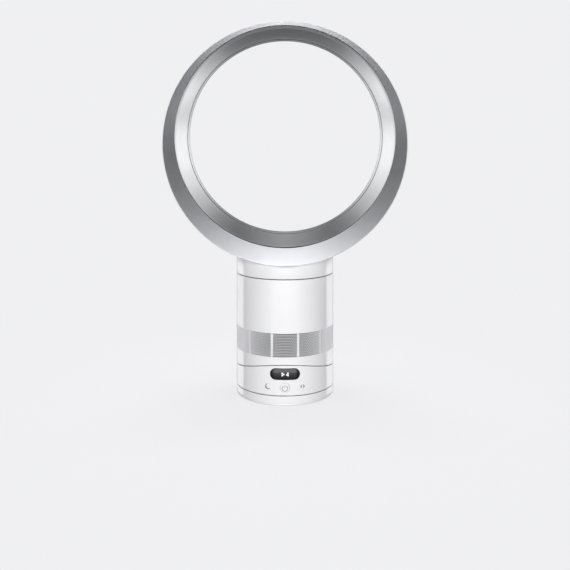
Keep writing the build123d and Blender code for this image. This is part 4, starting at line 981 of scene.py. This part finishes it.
def make_world():
    """Camera and clear rays see the plain pale background, glossy rays the studio, others a fill."""
    world = bpy.data.worlds.new("studio")
    scene.world = world
    world.use_nodes = True
    tree = world.node_tree
    tree.nodes.clear()
    x, y, z = axes(tree, "Generated")
    aside = calc(tree, "ABSOLUTE", x)
    ahead = calc(tree, "MULTIPLY", y, -1.0)
    compass, turn = (calc(tree, "DIVIDE", calc(tree, "ARCTAN2", aside, axis), math.pi)
                     for axis in (ahead, z))
    height = calc(tree, "MULTIPLY_ADD", z, 0.5, 0.5)
    depth = calc(tree, "MULTIPLY_ADD", y, 0.5, 0.5)
    front, fore, back, ring = (graded(tree, depth, stops)
                               for stops in (DEPTH_FRONT, DEPTH_FORE, DEPTH_BACK, DEPTH_RING))
    side = 1.0
    for region in (front, fore, back):
        side = calc(tree, "SUBTRACT", side, region)

    def card(operation, compass_stops, height_stops):
        return calc(tree, operation, graded(tree, compass, compass_stops),
                    graded(tree, height, height_stops))

    level = calc(tree, "MULTIPLY", card("MULTIPLY", FRONT_COMPASS, FRONT_HEIGHT), front)
    for region, stops in ((fore, FORE_TURN), (side, SIDE_TURN), (back, BACK_TURN)):
        level = calc(tree, "MULTIPLY_ADD", graded(tree, turn, stops), region, level)
    level = calc(tree, "MULTIPLY_ADD", level, calc(tree, "SUBTRACT", 1.0, ring),
                 calc(tree, "MULTIPLY", ring, RING_LEVEL))
    level = calc(tree, "MULTIPLY", level, card("MAXIMUM", AXIS_COMPASS, AXIS_HEIGHT))
    level = calc(tree, "MAXIMUM", level, card("MULTIPLY", STRIP_COMPASS, STRIP_HEIGHT))
    fill, studio, pale = (tree.nodes.new("ShaderNodeBackground") for _ in range(3))
    tree.links.new(graded(tree, height, FILL_HEIGHT), fill.inputs["Strength"])
    tree.links.new(level, studio.inputs["Strength"])
    for node, color in ((fill, (1, 1, 1)), (studio, (1, 1, 1)), (pale, PALE)):
        node.inputs["Color"].default_value = (*color, 1)
    path = tree.nodes.new("ShaderNodeLightPath")
    clear = calc(tree, "MAXIMUM", path.outputs["Is Camera Ray"], path.outputs["Is Transmission Ray"])
    unseen = mixed(tree, path.outputs["Is Glossy Ray"], fill, studio)
    out = tree.nodes.new("ShaderNodeOutputWorld")
    tree.links.new(mixed(tree, clear, unseen, pale).outputs[0], out.inputs["Surface"])


def softbox(name, place, aim, width, height, power):
    """A soft rectangular lamp, which itself stays out of the picture and its reflections."""
    light = bpy.data.lights.new(name, "AREA")
    light.shape = "RECTANGLE"
    light.size, light.size_y = width, height
    light.energy = power
    lamp = bpy.data.objects.new(name, light)
    lamp.location = place
    lamp.rotation_euler = (Vector(aim) - Vector(place)).to_track_quat("-Z", "Y").to_euler()
    lamp.visible_camera = False
    lamp.visible_glossy = False
    scene.collection.objects.link(lamp)


make_world()
CENTRE = (0, 0, 0.25)
softbox("front_box", (0, -2.4, 0.5), CENTRE, 1.2, 1.6, 54)
softbox("top_box", (0, 0.3, 2.6), CENTRE, 2.4, 2.4, 62)
softbox("left_box", (-1.8, 1.8, 0.5), CENTRE, 1.2, 1.4, 26)
softbox("right_box", (1.8, 1.8, 0.5), CENTRE, 1.2, 1.4, 26)

FLOOR_COLOR, FLOOR_HALF = (0.93, 0.93, 0.94), 3
FADE_START, FADE_END, CLEAR_SHARE = 0.07, 0.45, 0.77


def make_floor():
    """A pale floor that keeps the shadow near the fan and clears into the background further out."""
    mesh = bpy.data.meshes.new("floor")
    half = FLOOR_HALF
    mesh.from_pydata([(-half, -half, 0), (half, -half, 0), (half, half, 0), (-half, half, 0)], [],
                     [(0, 1, 2, 3)])
    floor = bpy.data.objects.new("floor", mesh)
    scene.collection.objects.link(floor)
    floor.visible_glossy = False
    floor.visible_diffuse = False
    floor.visible_shadow = False
    material, paint = new_finish("pale_floor", FLOOR_COLOR, 0.8)
    tree = material.node_tree
    place = tree.nodes.new("ShaderNodeTexCoord")
    length = tree.nodes.new("ShaderNodeVectorMath")
    length.operation = "LENGTH"
    tree.links.new(place.outputs["Object"], length.inputs[0])
    fade = tree.nodes.new("ShaderNodeMapRange")
    fade.interpolation_type = "SMOOTHSTEP"
    for socket, value in (("From Min", FADE_START), ("From Max", FADE_END), ("To Min", CLEAR_SHARE)):
        fade.inputs[socket].default_value = value
    tree.links.new(length.outputs["Value"], fade.inputs["Value"])
    path = tree.nodes.new("ShaderNodeLightPath")
    share = calc(tree, "MULTIPLY", path.outputs["Is Camera Ray"], fade.outputs["Result"])
    cover = mixed(tree, share, paint, tree.nodes.new("ShaderNodeBsdfTransparent"))
    tree.links.new(cover.outputs[0], tree.nodes["Material Output"].inputs["Surface"])
    mesh.materials.append(material)


make_floor()

# The camera stands level in front of the fan. The photograph is square, and its horizon lies above
# its middle.
PHOTO_PX, FOCAL_PX, HORIZON_PX = 570, 846.7, 164
camera = bpy.data.cameras.new("camera")
camera.sensor_width = 36
camera.lens = FOCAL_PX / PHOTO_PX * 36
camera.shift_y = -HORIZON_PX / PHOTO_PX
eye = bpy.data.objects.new("camera", camera)
eye.location = (0, -1.2844, 0.409)
eye.rotation_euler = (math.pi / 2, 0, 0)
scene.collection.objects.link(eye)
scene.camera = eye
